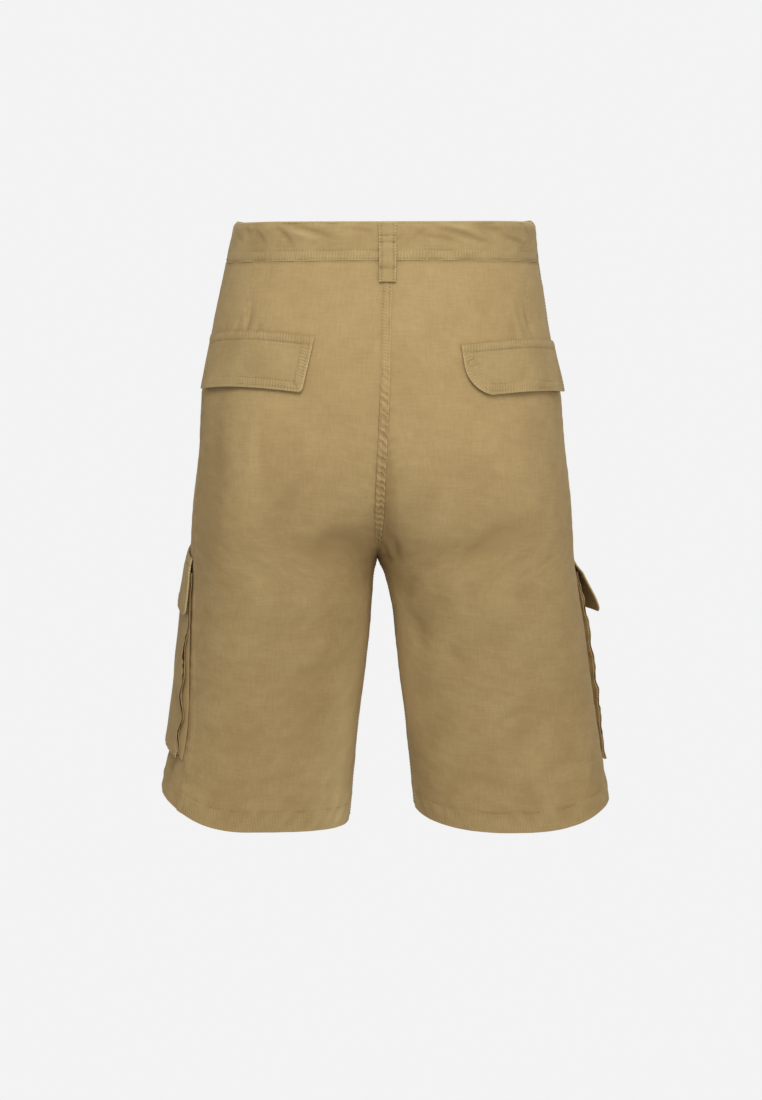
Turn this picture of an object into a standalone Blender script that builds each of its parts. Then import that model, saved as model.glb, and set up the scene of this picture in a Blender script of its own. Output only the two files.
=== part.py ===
"""Cargo shorts, filled out as worn, with no wearer in them.

The frame is the wearer's: +Z up, +Y to the wearer's front, +X to the wearer's right. The origin is the
middle of the waist opening, 3.5 mm above the waistband's top edge at the sides. All sizes are in metres.

Each half of the shorts is one surface. At every level below the waist a ring goes round that half, from
the seat seam round the outside to the front seam. At the fork the ring closes, and from there down it is
the ring of a leg. Every panel, flap, pocket and loop is worked out from these rings and a distance off them.
"""

import math
from collections import namedtuple

import bmesh
import bpy
import numpy as np

# Cloth and seams
CLOTH = 0.0012
SEAM_GAP = 0.0003
HALF_GAP = SEAM_GAP / 2
REST_GAP = 0.0005  # between a piece and what it lies on

# Levels, down from the waistband's top edge
BAND_HEIGHT = 0.036
FORK_DOWN = 0.334
HEM_DOWN = 0.584
HEM_DEPTH = 0.021
HEM_CLOTH = 0.0024

# Waistband
BAND_OUT = 0.0006  # its face stands this far off the seat
BAND_IN = -0.0018
BAND_LAP = 0.019  # each end runs this far past the middle of the front
BAND_LAP_STEP = 0.0016
BAND_LAP_EASE = 0.090

# Fly: the left front laps over the right
FLY_LAP = 0.012
FLY_EASE = 0.030
FLY_FACE = 0.0020
FLY_BOTTOM = 0.200
FLY_ROUND = 0.030
FLY_FOOT = 0.045
FLY_STEP = 0.002
ZIP_WIDTH = 0.026
ZIP_THICK = 0.0011
ZIP_CLEAR = 0.0014
ZIP_TOP = 0.046
ZIP_BOTTOM = 0.188

# Button
BUTTON_RADIUS = 0.0085
BUTTON_THICK = 0.0034
BUTTON_BEVEL = 0.0007
BUTTON_DOWN = 0.019
BUTTON_IN = 0.004  # from the middle of the front, towards the band's upper end

# How finely each piece is divided
RING_STEPS = 360
PANEL_COLUMNS = 14
RISE_ROWS = 11
RISE_CROWDING = 1.35
LEG_ROWS = 8
LEG_CROWDING = 1.15
HEM_STEP = 0.002
BAND_COLUMNS = 18
BAND_SHARES = (0.0, 0.5, 1.0)
FLAP_COLUMNS = 12
SEAT_FLAP_SHARES = (0.0, 0.35, 0.65, 0.87, 1.0)
CARGO_FLAP_SHARES = (0.0, 0.12, 0.23, 0.45, 0.72, 1.0)
BAG_COLUMNS = 11
BAG_ROWS = 6
GUSSET_STEPS = (6, 11, 6)
LOOP_COLUMNS = 3
LOOP_ROWS = 10
ZIP_COLUMNS = 4
ZIP_ROWS = 5
BUTTON_SEGMENTS = 24
SMOOTH_UNDER = math.radians(50)

KHAKI = (0.42, 0.31, 0.14)
BUTTON_BROWN = (0.16, 0.10, 0.05)
ZIP_BROWN = (0.22, 0.16, 0.08)

SIGN = {"left": -1.0, "right": 1.0}

# The outline from behind: how far each side's outer and inner edges are from the middle plane.
Outline = namedtuple("Outline", "down left_out right_out")
OUTLINE = (
    Outline(0.000, 0.1460, 0.1475),
    Outline(0.036, 0.1545, 0.1510),
    Outline(0.072, 0.1628, 0.1568),
    Outline(0.102, 0.1690, 0.1612),
    Outline(0.162, 0.1795, 0.1725),
    Outline(0.222, 0.1830, 0.1770),
    Outline(0.286, 0.1905, 0.1840),
    Outline(0.334, 0.1930, 0.1880),
    Outline(0.416, 0.1990, 0.2010),
    Outline(0.499, 0.2070, 0.2130),
    Outline(0.550, 0.2170, 0.2210),
    Outline(0.584, 0.2250, 0.2275),
)
Inseam = namedtuple("Inseam", "down left_in right_in")
INSEAM = (
    Inseam(0.334, 0.0075, -0.0075),
    Inseam(0.346, 0.0110, -0.0005),
    Inseam(0.380, 0.0139, 0.0080),
    Inseam(0.416, 0.0169, 0.0120),
    Inseam(0.499, 0.0275, 0.0220),
    Inseam(0.584, 0.0355, 0.0303),
)
# The outline from the side.
Depth = namedtuple("Depth", "down back front")
DEPTH = (
    Depth(0.000, -0.116, 0.116),
    Depth(0.036, -0.120, 0.119),
    Depth(0.102, -0.134, 0.123),
    Depth(0.162, -0.143, 0.124),
    Depth(0.222, -0.146, 0.121),
    Depth(0.286, -0.139, 0.116),
    Depth(0.334, -0.130, 0.111),
    Depth(0.416, -0.113, 0.102),
    Depth(0.499, -0.103, 0.094),
    Depth(0.584, -0.098, 0.086),
)
# How the trunk parts into two legs. split moves each ring's middle from the waist's centre to the leg's.
# The shares say how far back and forward the seat seam and the front seam still are, and seam_x is their
# line.
Rise = namedtuple("Rise", "down split seat_share front_share seam_x")
RISE = (
    Rise(0.000, 0.00, 1.000, 1.000, -0.0010),
    Rise(0.036, 0.04, 1.000, 1.000, -0.0010),
    Rise(0.102, 0.22, 0.999, 0.998, -0.0028),
    Rise(0.162, 0.45, 0.988, 0.980, -0.0045),
    Rise(0.222, 0.68, 0.955, 0.930, -0.0080),
    Rise(0.258, 0.80, 0.890, 0.830, -0.0095),
    Rise(0.288, 0.90, 0.750, 0.660, -0.0095),
    Rise(0.314, 0.97, 0.480, 0.410, -0.0085),
    Rise(0.334, 1.00, 0.000, 0.000, -0.0075),
)
# How square the rings are: 2 is an ellipse.
Squareness = namedtuple("Squareness", "down power")
SQUARENESS = (
    Squareness(0.000, 2.15),
    Squareness(0.162, 2.45),
    Squareness(0.334, 2.35),
    Squareness(0.584, 2.20),
)
# How far the side seam has turned towards the back, in degrees: the left leg's cloth is twisted.
Turn = namedtuple("Turn", "down left right")
TURN = (
    Turn(0.000, 2.0, 2.0),
    Turn(0.162, 8.0, 0.0),
    Turn(0.334, 20.0, -8.0),
    Turn(0.416, 28.0, -9.0),
    Turn(0.499, 37.0, -9.0),
    Turn(0.584, 39.0, -8.0),
)
# How far the waist's top edge and the hems rise, or fall if negative, at four places round the ring.
Lift = namedtuple("Lift", "side back inner front")
WAIST_LIFT = Lift(-0.0035, 0.0065, 0.000, -0.020)
FRONT_SWEEP = 1.3  # the waist falls away to the front sooner than it rises to the back
SIDE_SWEEP = 8  # its fall at the sides is short
HEM_LIFT = {
    "left": Lift(0.019, -0.008, -0.015, 0.000),
    "right": Lift(0.0065, -0.011, -0.003, 0.002),
}
MOST_SHARE = 0.9995  # of how far back or forward a seam reaches
RISE_DIP = 0.010  # how far a row falls towards the seams, half way from here to the fork
RISE_DIP_FROM = 0.140

# The largest folds. Each runs from one point to another, given as distances ahead of the side seam (behind
# it if negative) and down, and lifts the cloth, or sinks it if negative.
Fold = namedtuple("Fold", "side from_ahead from_down to_ahead to_down width height")
FOLDS = (
    Fold("left", -0.135, 0.190, -0.120, 0.335, 0.020, -0.0022),
    Fold("left", -0.165, 0.180, -0.150, 0.300, 0.016, 0.0014),
    Fold("left", -0.185, 0.330, -0.070, 0.250, 0.024, -0.0020),
    Fold("left", -0.030, 0.200, -0.020, 0.380, 0.022, -0.0028),
    Fold("left", -0.100, 0.430, -0.155, 0.520, 0.028, -0.0018),
    Fold("left", 0.235, 0.290, 0.120, 0.225, 0.020, 0.0026),
    Fold("left", 0.250, 0.330, 0.110, 0.290, 0.022, -0.0024),
    Fold("right", -0.200, 0.270, -0.110, 0.318, 0.022, -0.0026),
    Fold("right", -0.215, 0.330, -0.090, 0.395, 0.024, -0.0020),
    Fold("right", -0.060, 0.180, -0.045, 0.330, 0.022, 0.0016),
    Fold("right", -0.150, 0.420, -0.090, 0.500, 0.030, -0.0018),
    Fold("right", 0.230, 0.285, 0.110, 0.235, 0.022, 0.0024),
    Fold("right", 0.240, 0.325, 0.120, 0.280, 0.020, -0.0026),
    Fold("right", 0.210, 0.430, 0.190, 0.540, 0.026, 0.0020),
)
FOLD_FADE = 0.15  # a fold fades out over this share of its length, past each end

# A flap on a panel: where its top edge lies, its near and far ends there and how far they have slanted at the
# bottom, its near corner's radius, how far its bottom lifts, and how much its middle drops.
Flap = namedtuple("Flap", "top height near far near_slant far_slant corner lift lift_near drop")
FLAP_CLOTH = 0.0018
CORNER_SHARE = 0.97  # how much of a corner's quarter turn is cut, so that the bottom edge keeps its length
# Distances round from the seat seam
SEAT_FLAPS = {
    "left": Flap(0.1050, 0.0525, 0.0670, 0.2120, 0.0110, 0.0, 0.004, 0.0024, 0.0, -0.005),
    "right": Flap(0.1130, 0.0490, 0.0710, 0.2160, 0.0080, 0.0, 0.030, 0.0030, 0.0, -0.004),
}
# Distances ahead of the side seam
CARGO_FLAPS = {
    "left": Flap(0.3250, 0.0600, 0.0030, 0.1740, 0.0, 0.0, 0.008, 0.0008, 0.0, 0.0),
    "right": Flap(0.3410, 0.0600, 0.0030, 0.1740, 0.0, 0.0, 0.008, 0.0020, 0.006, 0.0),
}

# Cargo pockets, on the front panels just ahead of the side seams
CARGO_AHEAD = 0.006
CARGO_WIDTH = 0.165
CARGO_DEPTH = 0.194
CARGO_TOP = {"left": 0.341, "right": 0.357}
GUSSET_FOLD = 0.008
GUSSET_CLOTH = 0.0010
GUSSET_TIP = 0.0014  # the fold's thickness at its tip
# How far each bag stands off its leg, at the mouth, half way down and at the bottom.
Stand = namedtuple("Stand", "mouth middle bottom")
BAG_STAND = {"left": Stand(0.0048, 0.0100, 0.0085), "right": Stand(0.0110, 0.0100, 0.0055)}

# Belt loops
LOOP_WIDTH = 0.0160
LOOP_CLOTH = 0.0016
LOOP_TOP = 0.0012
LOOP_BOTTOM = 0.0560
LOOP_BOW = 0.0026
LOOP_TACK = 0.014  # it rises from its tacked ends over this length
SIDE_LOOP_AHEAD = 0.085  # round the band from the side seam


def smooth(rows, column, down):
    """A smooth curve through one column of a table whose first column is the distance down."""
    downs = [row.down for row in rows]
    values = [getattr(row, column) for row in rows]
    down = min(max(down, downs[0]), downs[-1])
    last = len(rows) - 1
    i = max(k for k in range(last) if downs[k] <= down)

    def slope(k):
        low, high = max(k - 1, 0), min(k + 1, last)
        return (values[high] - values[low]) / (downs[high] - downs[low])

    span = downs[i + 1] - downs[i]
    t = (down - downs[i]) / span
    start = t * (1 - t) ** 2 * span * slope(i)
    end = t * t * (t - 1) * span * slope(i + 1)
    return values[i] + (values[i + 1] - values[i]) * eased(t) + start + end


def eased(t):
    """From 0 to 1, slow at both ends."""
    t = min(max(t, 0.0), 1.0)
    return t * t * (3 - 2 * t)


class Ring:
    """One level of one half: points from the seat seam round the outside to the front seam.

    It is an oval. Above the fork the part of it past the seam's line is cut off, and the stretch between its
    middle and that line is scaled so that it ends where the seam is.
    """

    def __init__(self, side, down):
        self.side, self.down = side, down
        self.power = smooth(SQUARENESS, "power", down)
        self.out = smooth(OUTLINE, side + "_out", down)
        self.inner = self.inner_edge()
        split = smooth(RISE, "split", down)
        self.middle_x = self.inner + split * (self.out - self.inner) / 2
        seat_start, seat_reach = self.cut("seat_share")
        front_start, front_reach = self.cut("front_share")
        angles = np.linspace(-seat_start, front_start, RING_STEPS + 1)
        starts = np.where(angles < 0, seat_start, front_start)
        reaches = np.where(angles < 0, seat_reach, front_reach)
        x = self.across(angles, reaches)
        y = self.along_y(angles)
        z = self.levels(angles, starts)
        self.points = np.stack([SIGN[side] * x, y, z], axis=1)
        steps = np.linalg.norm(np.diff(self.points, axis=0), axis=1)
        self.travel = np.concatenate([[0.0], np.cumsum(steps)])
        self.length = self.travel[-1]
        turn = -math.radians(smooth(TURN, side, down))
        self.side_seam = float(np.interp(turn, angles, self.travel))

    def inner_edge(self):
        """How far the half's inner edge is from the middle plane: its seams, or its inseam below the fork."""
        if self.down <= FORK_DOWN:
            return SIGN[self.side] * smooth(RISE, "seam_x", self.down) + HALF_GAP
        return smooth(INSEAM, self.side + "_in", self.down) + HALF_GAP

    def cut(self, share_name):
        """The angle at which the oval meets a seam, and how wide the whole oval's inner half is."""
        share = min(max(smooth(RISE, share_name, self.down), 0.0), MOST_SHARE)
        cut = (1 - share**self.power) ** (1 / self.power)
        wide = self.middle_x - self.inner
        return math.pi / 2 + math.asin(cut ** (self.power / 2)), wide / cut

    def across(self, angles, reaches):
        share = np.abs(np.cos(angles)) ** (2 / self.power)
        outer = self.middle_x + (self.out - self.middle_x) * share
        return np.where(np.cos(angles) >= 0, outer, np.maximum(self.middle_x - reaches * share, self.inner))

    def along_y(self, angles):
        back, front = smooth(DEPTH, "back", self.down), smooth(DEPTH, "front", self.down)
        middle = (back + front) / 2
        share = np.abs(np.sin(angles)) ** (2 / self.power)
        return middle + np.where(angles < 0, back - middle, front - middle) * share

    def levels(self, angles, starts):
        """The height of each point: the waist and hems aren't level, and rows dip towards the fork."""
        bent = np.clip(angles, -math.pi / 2, math.pi / 2)
        swing = np.sin(bent) ** 2
        past_side = np.abs(angles) - math.pi / 2
        inward = np.clip(past_side / np.maximum(starts - math.pi / 2, 1e-6), 0.0, 1.0)
        inward = inward * inward * (3 - 2 * inward)
        waist = 1 - eased((self.down - BAND_HEIGHT) / (FORK_DOWN - BAND_HEIGHT))
        hem = max(self.down - FORK_DOWN, 0.0) / (HEM_DOWN - FORK_DOWN)
        lift = HEM_LIFT[self.side]
        hem_far = np.where(angles < 0, lift.back, lift.front)
        front_fall = WAIST_LIFT.front * np.abs(np.sin(bent)) ** FRONT_SWEEP
        side_fall = WAIST_LIFT.side * np.cos(bent) ** SIDE_SWEEP
        z = -self.down + waist * (side_fall + np.where(angles < 0, WAIST_LIFT.back * swing, front_fall))
        z = z + hem * (lift.side + (hem_far - lift.side) * swing + (lift.inner - hem_far) * inward)
        t = min(max((self.down - RISE_DIP_FROM) / (FORK_DOWN - RISE_DIP_FROM), 0.0), 1.0)
        return z - inward * RISE_DIP * math.sin(math.pi * t) ** 2

    def at(self, travel):
        """The point that far along the ring."""
        return np.array([np.interp(travel, self.travel, self.points[:, k]) for k in range(3)])


RINGS = {}


def ring(side, down):
    key = (side, round(down, 6))
    if key not in RINGS:
        RINGS[key] = Ring(side, down)
    return RINGS[key]


def fold_height(side, down, ahead):
    """How far the folds lift the cloth there, or sink it."""
    height = 0.0
    for fold in FOLDS:
        run = (fold.to_ahead - fold.from_ahead, fold.to_down - fold.from_down)
        length = math.hypot(*run)
        offset = (ahead - fold.from_ahead, down - fold.from_down)
        t = (offset[0] * run[0] + offset[1] * run[1]) / length**2
        across = (offset[0] * run[1] - offset[1] * run[0]) / length
        if fold.side == side and -FOLD_FADE < t < 1 + FOLD_FADE:
            ends = math.sin(math.pi * (t + FOLD_FADE) / (1 + 2 * FOLD_FADE)) ** 2
            height += fold.height * ends * math.exp(-((across / fold.width) ** 2))
    return height


def lifted(side, down, travel, off):
    """The point that far along a ring, folded, and moved out from the cloth's face."""
    step = 0.002
    here, above, below = (ring(side, min(max(down + d, 0.0), HEM_DOWN)) for d in (0.0, -step, step))
    round_it = here.at(min(travel + step, here.length)) - here.at(max(travel - step, 0.0))
    share = travel / here.length
    down_it = below.at(share * below.length) - above.at(share * above.length)
    normal = np.cross(round_it, down_it) * -SIGN[side]
    normal = normal / np.linalg.norm(normal)
    return here.at(travel) + (off + fold_height(side, down, travel - here.side_seam)) * normal


def from_side_seam(side, down, ahead, off):
    return lifted(side, down, ring(side, down).side_seam + ahead, off)


def from_seat_seam(side, down, away, off):
    return lifted(side, down, away, off)


def from_front_seam(side, down, away, off):
    return lifted(side, down, ring(side, down).length - away, off)


def across_back(down, right, off):
    """A point near the seat seam, that far to the right of it."""
    return from_seat_seam("right" if right >= 0 else "left", down, abs(right), off)


def across_front(down, right, off):
    """A point near the front seam, that far to the right of it."""
    return from_front_seam("right" if right >= 0 else "left", down, abs(right), off)


def evenly(start, end, count):
    return [start + (end - start) * k / count for k in range(count + 1)]


def clear_scene():
    for obj in list(bpy.data.objects):
        bpy.data.objects.remove(obj)


def finish(name, colour, roughness):
    material = bpy.data.materials.new(name)
    material.use_nodes = True
    shader = material.node_tree.nodes["Principled BSDF"]
    shader.inputs["Base Color"].default_value = (*colour, 1.0)
    shader.inputs["Roughness"].default_value = roughness
    shader.inputs["Metallic"].default_value = 0.0
    return material


def put(name, shape, material):
    """A new object of a bmesh shape, which it uses up."""
    mesh = bpy.data.meshes.new(name)
    shape.to_mesh(mesh)
    shape.free()
    mesh.shade_smooth()
    mesh.set_sharp_from_angle(angle=SMOOTH_UNDER)
    mesh.materials.append(material)
    obj = bpy.data.objects.new(name, mesh)
    bpy.context.scene.collection.objects.link(obj)
    return obj


def wall(name, face, back, material):
    """A solid between two grids of points of the same size: rows of columns."""
    rows, columns = len(face), len(face[0])
    shape = bmesh.new()
    grids = [[[shape.verts.new(point) for point in row] for row in grid] for grid in (face, back)]
    for grid in grids:
        for r in range(rows - 1):
            for c in range(columns - 1):
                shape.faces.new((grid[r][c], grid[r][c + 1], grid[r + 1][c + 1], grid[r + 1][c]))
    rim = [(0, c) for c in range(columns)] + [(r, columns - 1) for r in range(1, rows)]
    rim += [(rows - 1, c) for c in range(columns - 2, -1, -1)] + [(r, 0) for r in range(rows - 2, 0, -1)]
    for (r0, c0), (r1, c1) in zip(rim, rim[1:] + rim[:1]):
        shape.faces.new((grids[0][r0][c0], grids[0][r1][c1], grids[1][r1][c1], grids[1][r0][c0]))
    bmesh.ops.recalc_face_normals(shape, faces=shape.faces)
    return put(name, shape, material)


def panel_downs():
    """The levels of a panel's rows: closer together at the fork, and two for the turned-up hem."""
    top = BAND_HEIGHT + SEAM_GAP
    hem_top = HEM_DOWN - HEM_DEPTH
    rise = [1 - (1 - k / RISE_ROWS) ** RISE_CROWDING for k in range(RISE_ROWS)]
    leg = [(k / LEG_ROWS) ** LEG_CROWDING for k in range(LEG_ROWS + 1)]
    downs = [top + (FORK_DOWN - top) * share for share in rise]
    downs += [FORK_DOWN + (hem_top - FORK_DOWN) * share for share in leg]
    return downs + [hem_top + HEM_STEP, HEM_DOWN]


def fly_off(down, away):
    """How far the left front stands off, that far from the front seam: it laps over the right front."""
    foot = 1 - eased((down - FLY_BOTTOM) / FLY_FOOT)
    return FLY_FACE * foot * eased(1 - away / FLY_EASE)


def fly_edge(down, off):
    """The left front's edge: past the front seam down the fly, and at the seam below it."""
    off += fly_off(down, 0.0)
    if down < FLY_BOTTOM:
        lap = FLY_LAP * min(1.0, (FLY_BOTTOM - down) / FLY_ROUND)
        return from_front_seam("right", down, lap, off)
    return from_front_seam("left", down, HALF_GAP if down >= FORK_DOWN else 0.0, off)


def panel(side, part, material):
    """A front or a back: all the cloth from the middle seam to the side seam, waist to hem."""
    laps = side == "left" and part == "front"
    face, inside = [], []
    for down in panel_downs():
        here = ring(side, down)
        inseam_gap = HALF_GAP if down >= FORK_DOWN else 0.0
        if part == "back":
            spots = evenly(inseam_gap, here.side_seam - HALF_GAP, PANEL_COLUMNS)
        else:
            end = here.length - (FLY_STEP if laps else inseam_gap)
            spots = evenly(here.side_seam + HALF_GAP, end, PANEL_COLUMNS)
        cloth = HEM_CLOTH if down > HEM_DOWN - HEM_DEPTH + HEM_STEP / 2 else CLOTH
        for grid, depth in ((face, 0.0), (inside, -cloth)):
            offs = [depth + (fly_off(down, here.length - spot) if laps else 0.0) for spot in spots]
            row = [lifted(side, down, spot, off) for spot, off in zip(spots, offs)]
            grid.append(row + [fly_edge(down, depth)] if laps else row)
    return wall(f"{part}_{side}", face, inside, material)


def waistband(material):
    """One strip, from its end under the front, round the back, to its end over the front."""

    def lap_step(side, away):
        step = BAND_LAP_STEP * eased(1 - away / BAND_LAP_EASE)
        return step if side == "left" else -step

    def strip(down, off):
        left, right = ring("left", down), ring("right", down)
        row = [from_front_seam("left", down, BAND_LAP, off - BAND_LAP_STEP)]
        for spot in evenly(right.length, 0.0, BAND_COLUMNS):
            row.append(lifted("right", down, spot, off + lap_step("right", right.length - spot)))
        for spot in evenly(0.0, left.length, BAND_COLUMNS)[1:]:
            row.append(lifted("left", down, spot, off + lap_step("left", left.length - spot)))
        row.append(from_front_seam("right", down, BAND_LAP, off + BAND_LAP_STEP))
        return row

    face = [strip(BAND_HEIGHT * share, BAND_OUT) for share in BAND_SHARES]
    inside = [strip(BAND_HEIGHT * share, BAND_IN) for share in BAND_SHARES]
    return wall("waistband", face, inside, material)


def flap_near(flap, share):
    """A flap's near end at that share of the way down it, with its corner rounded."""
    past = max(flap.height * share - (flap.height - flap.corner), 0.0)
    rounding = flap.corner - math.sqrt(flap.corner**2 - (CORNER_SHARE * past) ** 2)
    return flap.near + flap.near_slant * share + rounding


def flap_wall(name, flap, shares, columns, place, under_off, material):
    """A flap: place gives a point for a level, a distance round and how far off its underside is."""
    face, under = [], []
    for share in shares:
        near, far = flap_near(flap, share), flap.far + flap.far_slant * share
        rows = ([], [])
        for c in range(columns + 1):
            across = c / columns
            down = flap.top + flap.height * share + flap.drop * math.sin(math.pi * across)
            off = under_off(share, across)
            rows[0].append(place(down, near + (far - near) * across, off + FLAP_CLOTH))
            rows[1].append(place(down, near + (far - near) * across, off))
        face.append(rows[0])
        under.append(rows[1])
    return wall(name, face, under, material)


def seat_flap(side, material):
    """A back pocket's flap, sewn along its top and standing a little off the seat below."""
    flap = SEAT_FLAPS[side]

    def place(down, away, off):
        return from_seat_seam(side, down, away, off)

    def under_off(share, across):
        return REST_GAP + flap.lift * share

    name = "seat_flap_" + side
    return flap_wall(name, flap, SEAT_FLAP_SHARES, FLAP_COLUMNS, place, under_off, material)


def bag_off(side, down):
    """How far a bag's underside stands off its leg at that level."""
    stand = BAG_STAND[side]
    t = min(max((down - CARGO_TOP[side]) / CARGO_DEPTH, 0.0), 1.0)
    bow = stand.middle - (stand.mouth + stand.bottom) / 2
    return stand.mouth + (stand.bottom - stand.mouth) * t + bow * 4 * t * (1 - t)


def gusset_route(side, inset):
    """The way round a pocket from its mouth, down, across and up, as distances ahead and down."""
    top, bottom = CARGO_TOP[side], CARGO_TOP[side] + CARGO_DEPTH - inset
    near, far = CARGO_AHEAD + inset, CARGO_AHEAD + CARGO_WIDTH - inset
    corners = [(near, top), (near, bottom), (far, bottom), (far, top)]
    route = []
    for (a0, d0), (a1, d1), count in zip(corners, corners[1:], GUSSET_STEPS):
        route += [(a0 + (a1 - a0) * k / count, d0 + (d1 - d0) * k / count) for k in range(count)]
    return route + [corners[-1]]


def cargo_gusset(side, material):
    """The strip that joins a cargo bag to the leg, folded inward, round three sides of the pocket."""
    pocket_side = ((0.0, 0.0, 0.0), (GUSSET_FOLD, 0.5, 0.0), (0.0, 1.0, 0.0))
    outside = ((0.0, 0.0, GUSSET_CLOTH), (GUSSET_FOLD - GUSSET_TIP, 0.5, 0.0), (0.0, 1.0, -GUSSET_CLOTH))
    grids = []
    for profile in (pocket_side, outside):
        lines = []
        for inset, share, shift in profile:
            line = []
            for ahead, down in gusset_route(side, inset):
                rise = bag_off(side, down) - SEAM_GAP - REST_GAP
                line.append(from_side_seam(side, down, ahead, REST_GAP + share * rise + shift))
            lines.append(line)
        grids.append(lines)
    return wall("cargo_gusset_" + side, grids[0], grids[1], material)


def cargo_bag(side, material):
    """A cargo pocket's outer panel, held off the leg by its gusset."""
    downs = evenly(CARGO_TOP[side], CARGO_TOP[side] + CARGO_DEPTH, BAG_ROWS)
    spots = evenly(CARGO_AHEAD, CARGO_AHEAD + CARGO_WIDTH, BAG_COLUMNS)
    face = [[from_side_seam(side, d, a, bag_off(side, d) + CLOTH) for a in spots] for d in downs]
    under = [[from_side_seam(side, d, a, bag_off(side, d)) for a in spots] for d in downs]
    return wall("cargo_bag_" + side, face, under, material)


def cargo_flap(side, material):
    """A cargo pocket's flap, sewn to the leg above the bag's mouth and hanging over it."""
    flap = CARGO_FLAPS[side]

    def place(down, ahead, off):
        return from_side_seam(side, down, ahead, off)

    def under_off(share, across):
        over_bag = bag_off(side, flap.top + flap.height * share) + CLOTH
        rise = min(1.0, share / CARGO_FLAP_SHARES[2])
        return REST_GAP + over_bag * rise + (flap.lift + flap.lift_near * (1 - across) ** 3) * eased(share)

    name = "cargo_flap_" + side
    return flap_wall(name, flap, CARGO_FLAP_SHARES, BAG_COLUMNS, place, under_off, material)


def belt_loop(name, place, material):
    """A strap over the waistband, tacked at its top and below the band, and bowed out between."""
    spots = evenly(-LOOP_WIDTH / 2, LOOP_WIDTH / 2, LOOP_COLUMNS)
    face, under = [], []
    for down in evenly(LOOP_TOP, LOOP_BOTTOM, LOOP_ROWS):
        bow = eased(down / LOOP_TACK) * eased((LOOP_BOTTOM - down) / LOOP_TACK)
        off_band = BAND_OUT * (1 - eased((down - BAND_HEIGHT) / (LOOP_BOTTOM - BAND_HEIGHT)))
        off = off_band + REST_GAP + LOOP_BOW * bow
        under.append([place(down, spot, off) for spot in spots])
        face.append([place(down, spot, off + LOOP_CLOTH) for spot in spots])
    return wall(name, face, under, material)


def side_loop(side, material):
    def place(down, ahead, off):
        return from_side_seam(side, down, SIDE_LOOP_AHEAD + ahead, off)

    return belt_loop("belt_loop_" + side, place, material)


def zip_strip(material):
    """The zip's tapes and chain, closed, behind the fly."""
    downs = evenly(ZIP_TOP, ZIP_BOTTOM, ZIP_ROWS)
    spots = evenly(-ZIP_WIDTH / 2, ZIP_WIDTH / 2, ZIP_COLUMNS)
    behind = -(CLOTH + ZIP_CLEAR)
    face = [[across_front(down, spot, behind) for spot in spots] for down in downs]
    inside = [[across_front(down, spot, behind - ZIP_THICK) for spot in spots] for down in downs]
    return wall("zip", face, inside, material)


def waist_button(material):
    """The button on the band's upper end, a flat disc with a softened rim."""
    off = BAND_OUT + BAND_LAP_STEP + REST_GAP
    foot = across_front(BUTTON_DOWN, BUTTON_IN, off)
    top = across_front(BUTTON_DOWN, BUTTON_IN, off + BUTTON_THICK)
    out = (top - foot) / BUTTON_THICK
    shape = bmesh.new()
    bmesh.ops.create_cone(
        shape,
        cap_ends=True,
        segments=BUTTON_SEGMENTS,
        radius1=BUTTON_RADIUS,
        radius2=BUTTON_RADIUS,
        depth=BUTTON_THICK,
    )
    obj = put("waist_button", shape, material)
    obj.location = (foot + top) / 2
    obj.rotation_euler = (0.0, math.acos(out[2]), math.atan2(out[1], out[0]))
    rim = obj.modifiers.new("rim", "BEVEL")
    rim.width = BUTTON_BEVEL
    rim.segments = 2
    rim.limit_method = "ANGLE"
    return obj


def main():
    clear_scene()
    cloth = finish("ripstop cotton", KHAKI, 0.85)
    waistband(cloth)
    belt_loop("belt_loop_back", across_back, cloth)
    for side in ("left", "right"):
        panel(side, "back", cloth)
        panel(side, "front", cloth)
        seat_flap(side, cloth)
        cargo_gusset(side, cloth)
        cargo_bag(side, cloth)
        cargo_flap(side, cloth)
        side_loop(side, cloth)
    zip_strip(finish("zip tape", ZIP_BROWN, 0.7))
    waist_button(finish("horn button", BUTTON_BROWN, 0.35))


main()
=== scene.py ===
"""Khaki ripstop cargo shorts, filled out as on a wearer: the finished cloth, seams, stitching, button and
studio.
"""

import logging
import math
from dataclasses import dataclass, field
from enum import Enum
from typing import Callable, NamedTuple, Optional, Sequence

import bpy
import numpy as np
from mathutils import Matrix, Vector

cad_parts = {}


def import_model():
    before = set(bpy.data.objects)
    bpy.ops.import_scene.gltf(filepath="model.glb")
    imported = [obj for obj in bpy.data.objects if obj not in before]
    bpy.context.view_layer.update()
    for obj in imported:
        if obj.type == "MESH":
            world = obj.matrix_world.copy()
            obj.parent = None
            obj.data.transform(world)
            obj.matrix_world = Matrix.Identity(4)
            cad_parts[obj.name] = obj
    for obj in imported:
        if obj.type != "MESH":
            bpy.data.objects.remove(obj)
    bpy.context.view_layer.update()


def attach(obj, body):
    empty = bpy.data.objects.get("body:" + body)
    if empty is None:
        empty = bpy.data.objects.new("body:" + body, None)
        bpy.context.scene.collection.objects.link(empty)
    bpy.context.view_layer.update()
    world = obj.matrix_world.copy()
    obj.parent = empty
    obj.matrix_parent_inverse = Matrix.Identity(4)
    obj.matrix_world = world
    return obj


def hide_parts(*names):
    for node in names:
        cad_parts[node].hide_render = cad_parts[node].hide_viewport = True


log = logging.getLogger("shorts")

Array = np.ndarray
Material = bpy.types.Material
Piece = bpy.types.Object
Socket = bpy.types.NodeSocket
Tree = bpy.types.NodeTree
Three = tuple[float, float, float]
Colour = Three
Place = Callable[[Array, Array, Array], Array]

# Levels, down from the waistband's top edge
BAND_HEIGHT = 0.036
FORK_DOWN = 0.334
HEM_DOWN = 0.584

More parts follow.
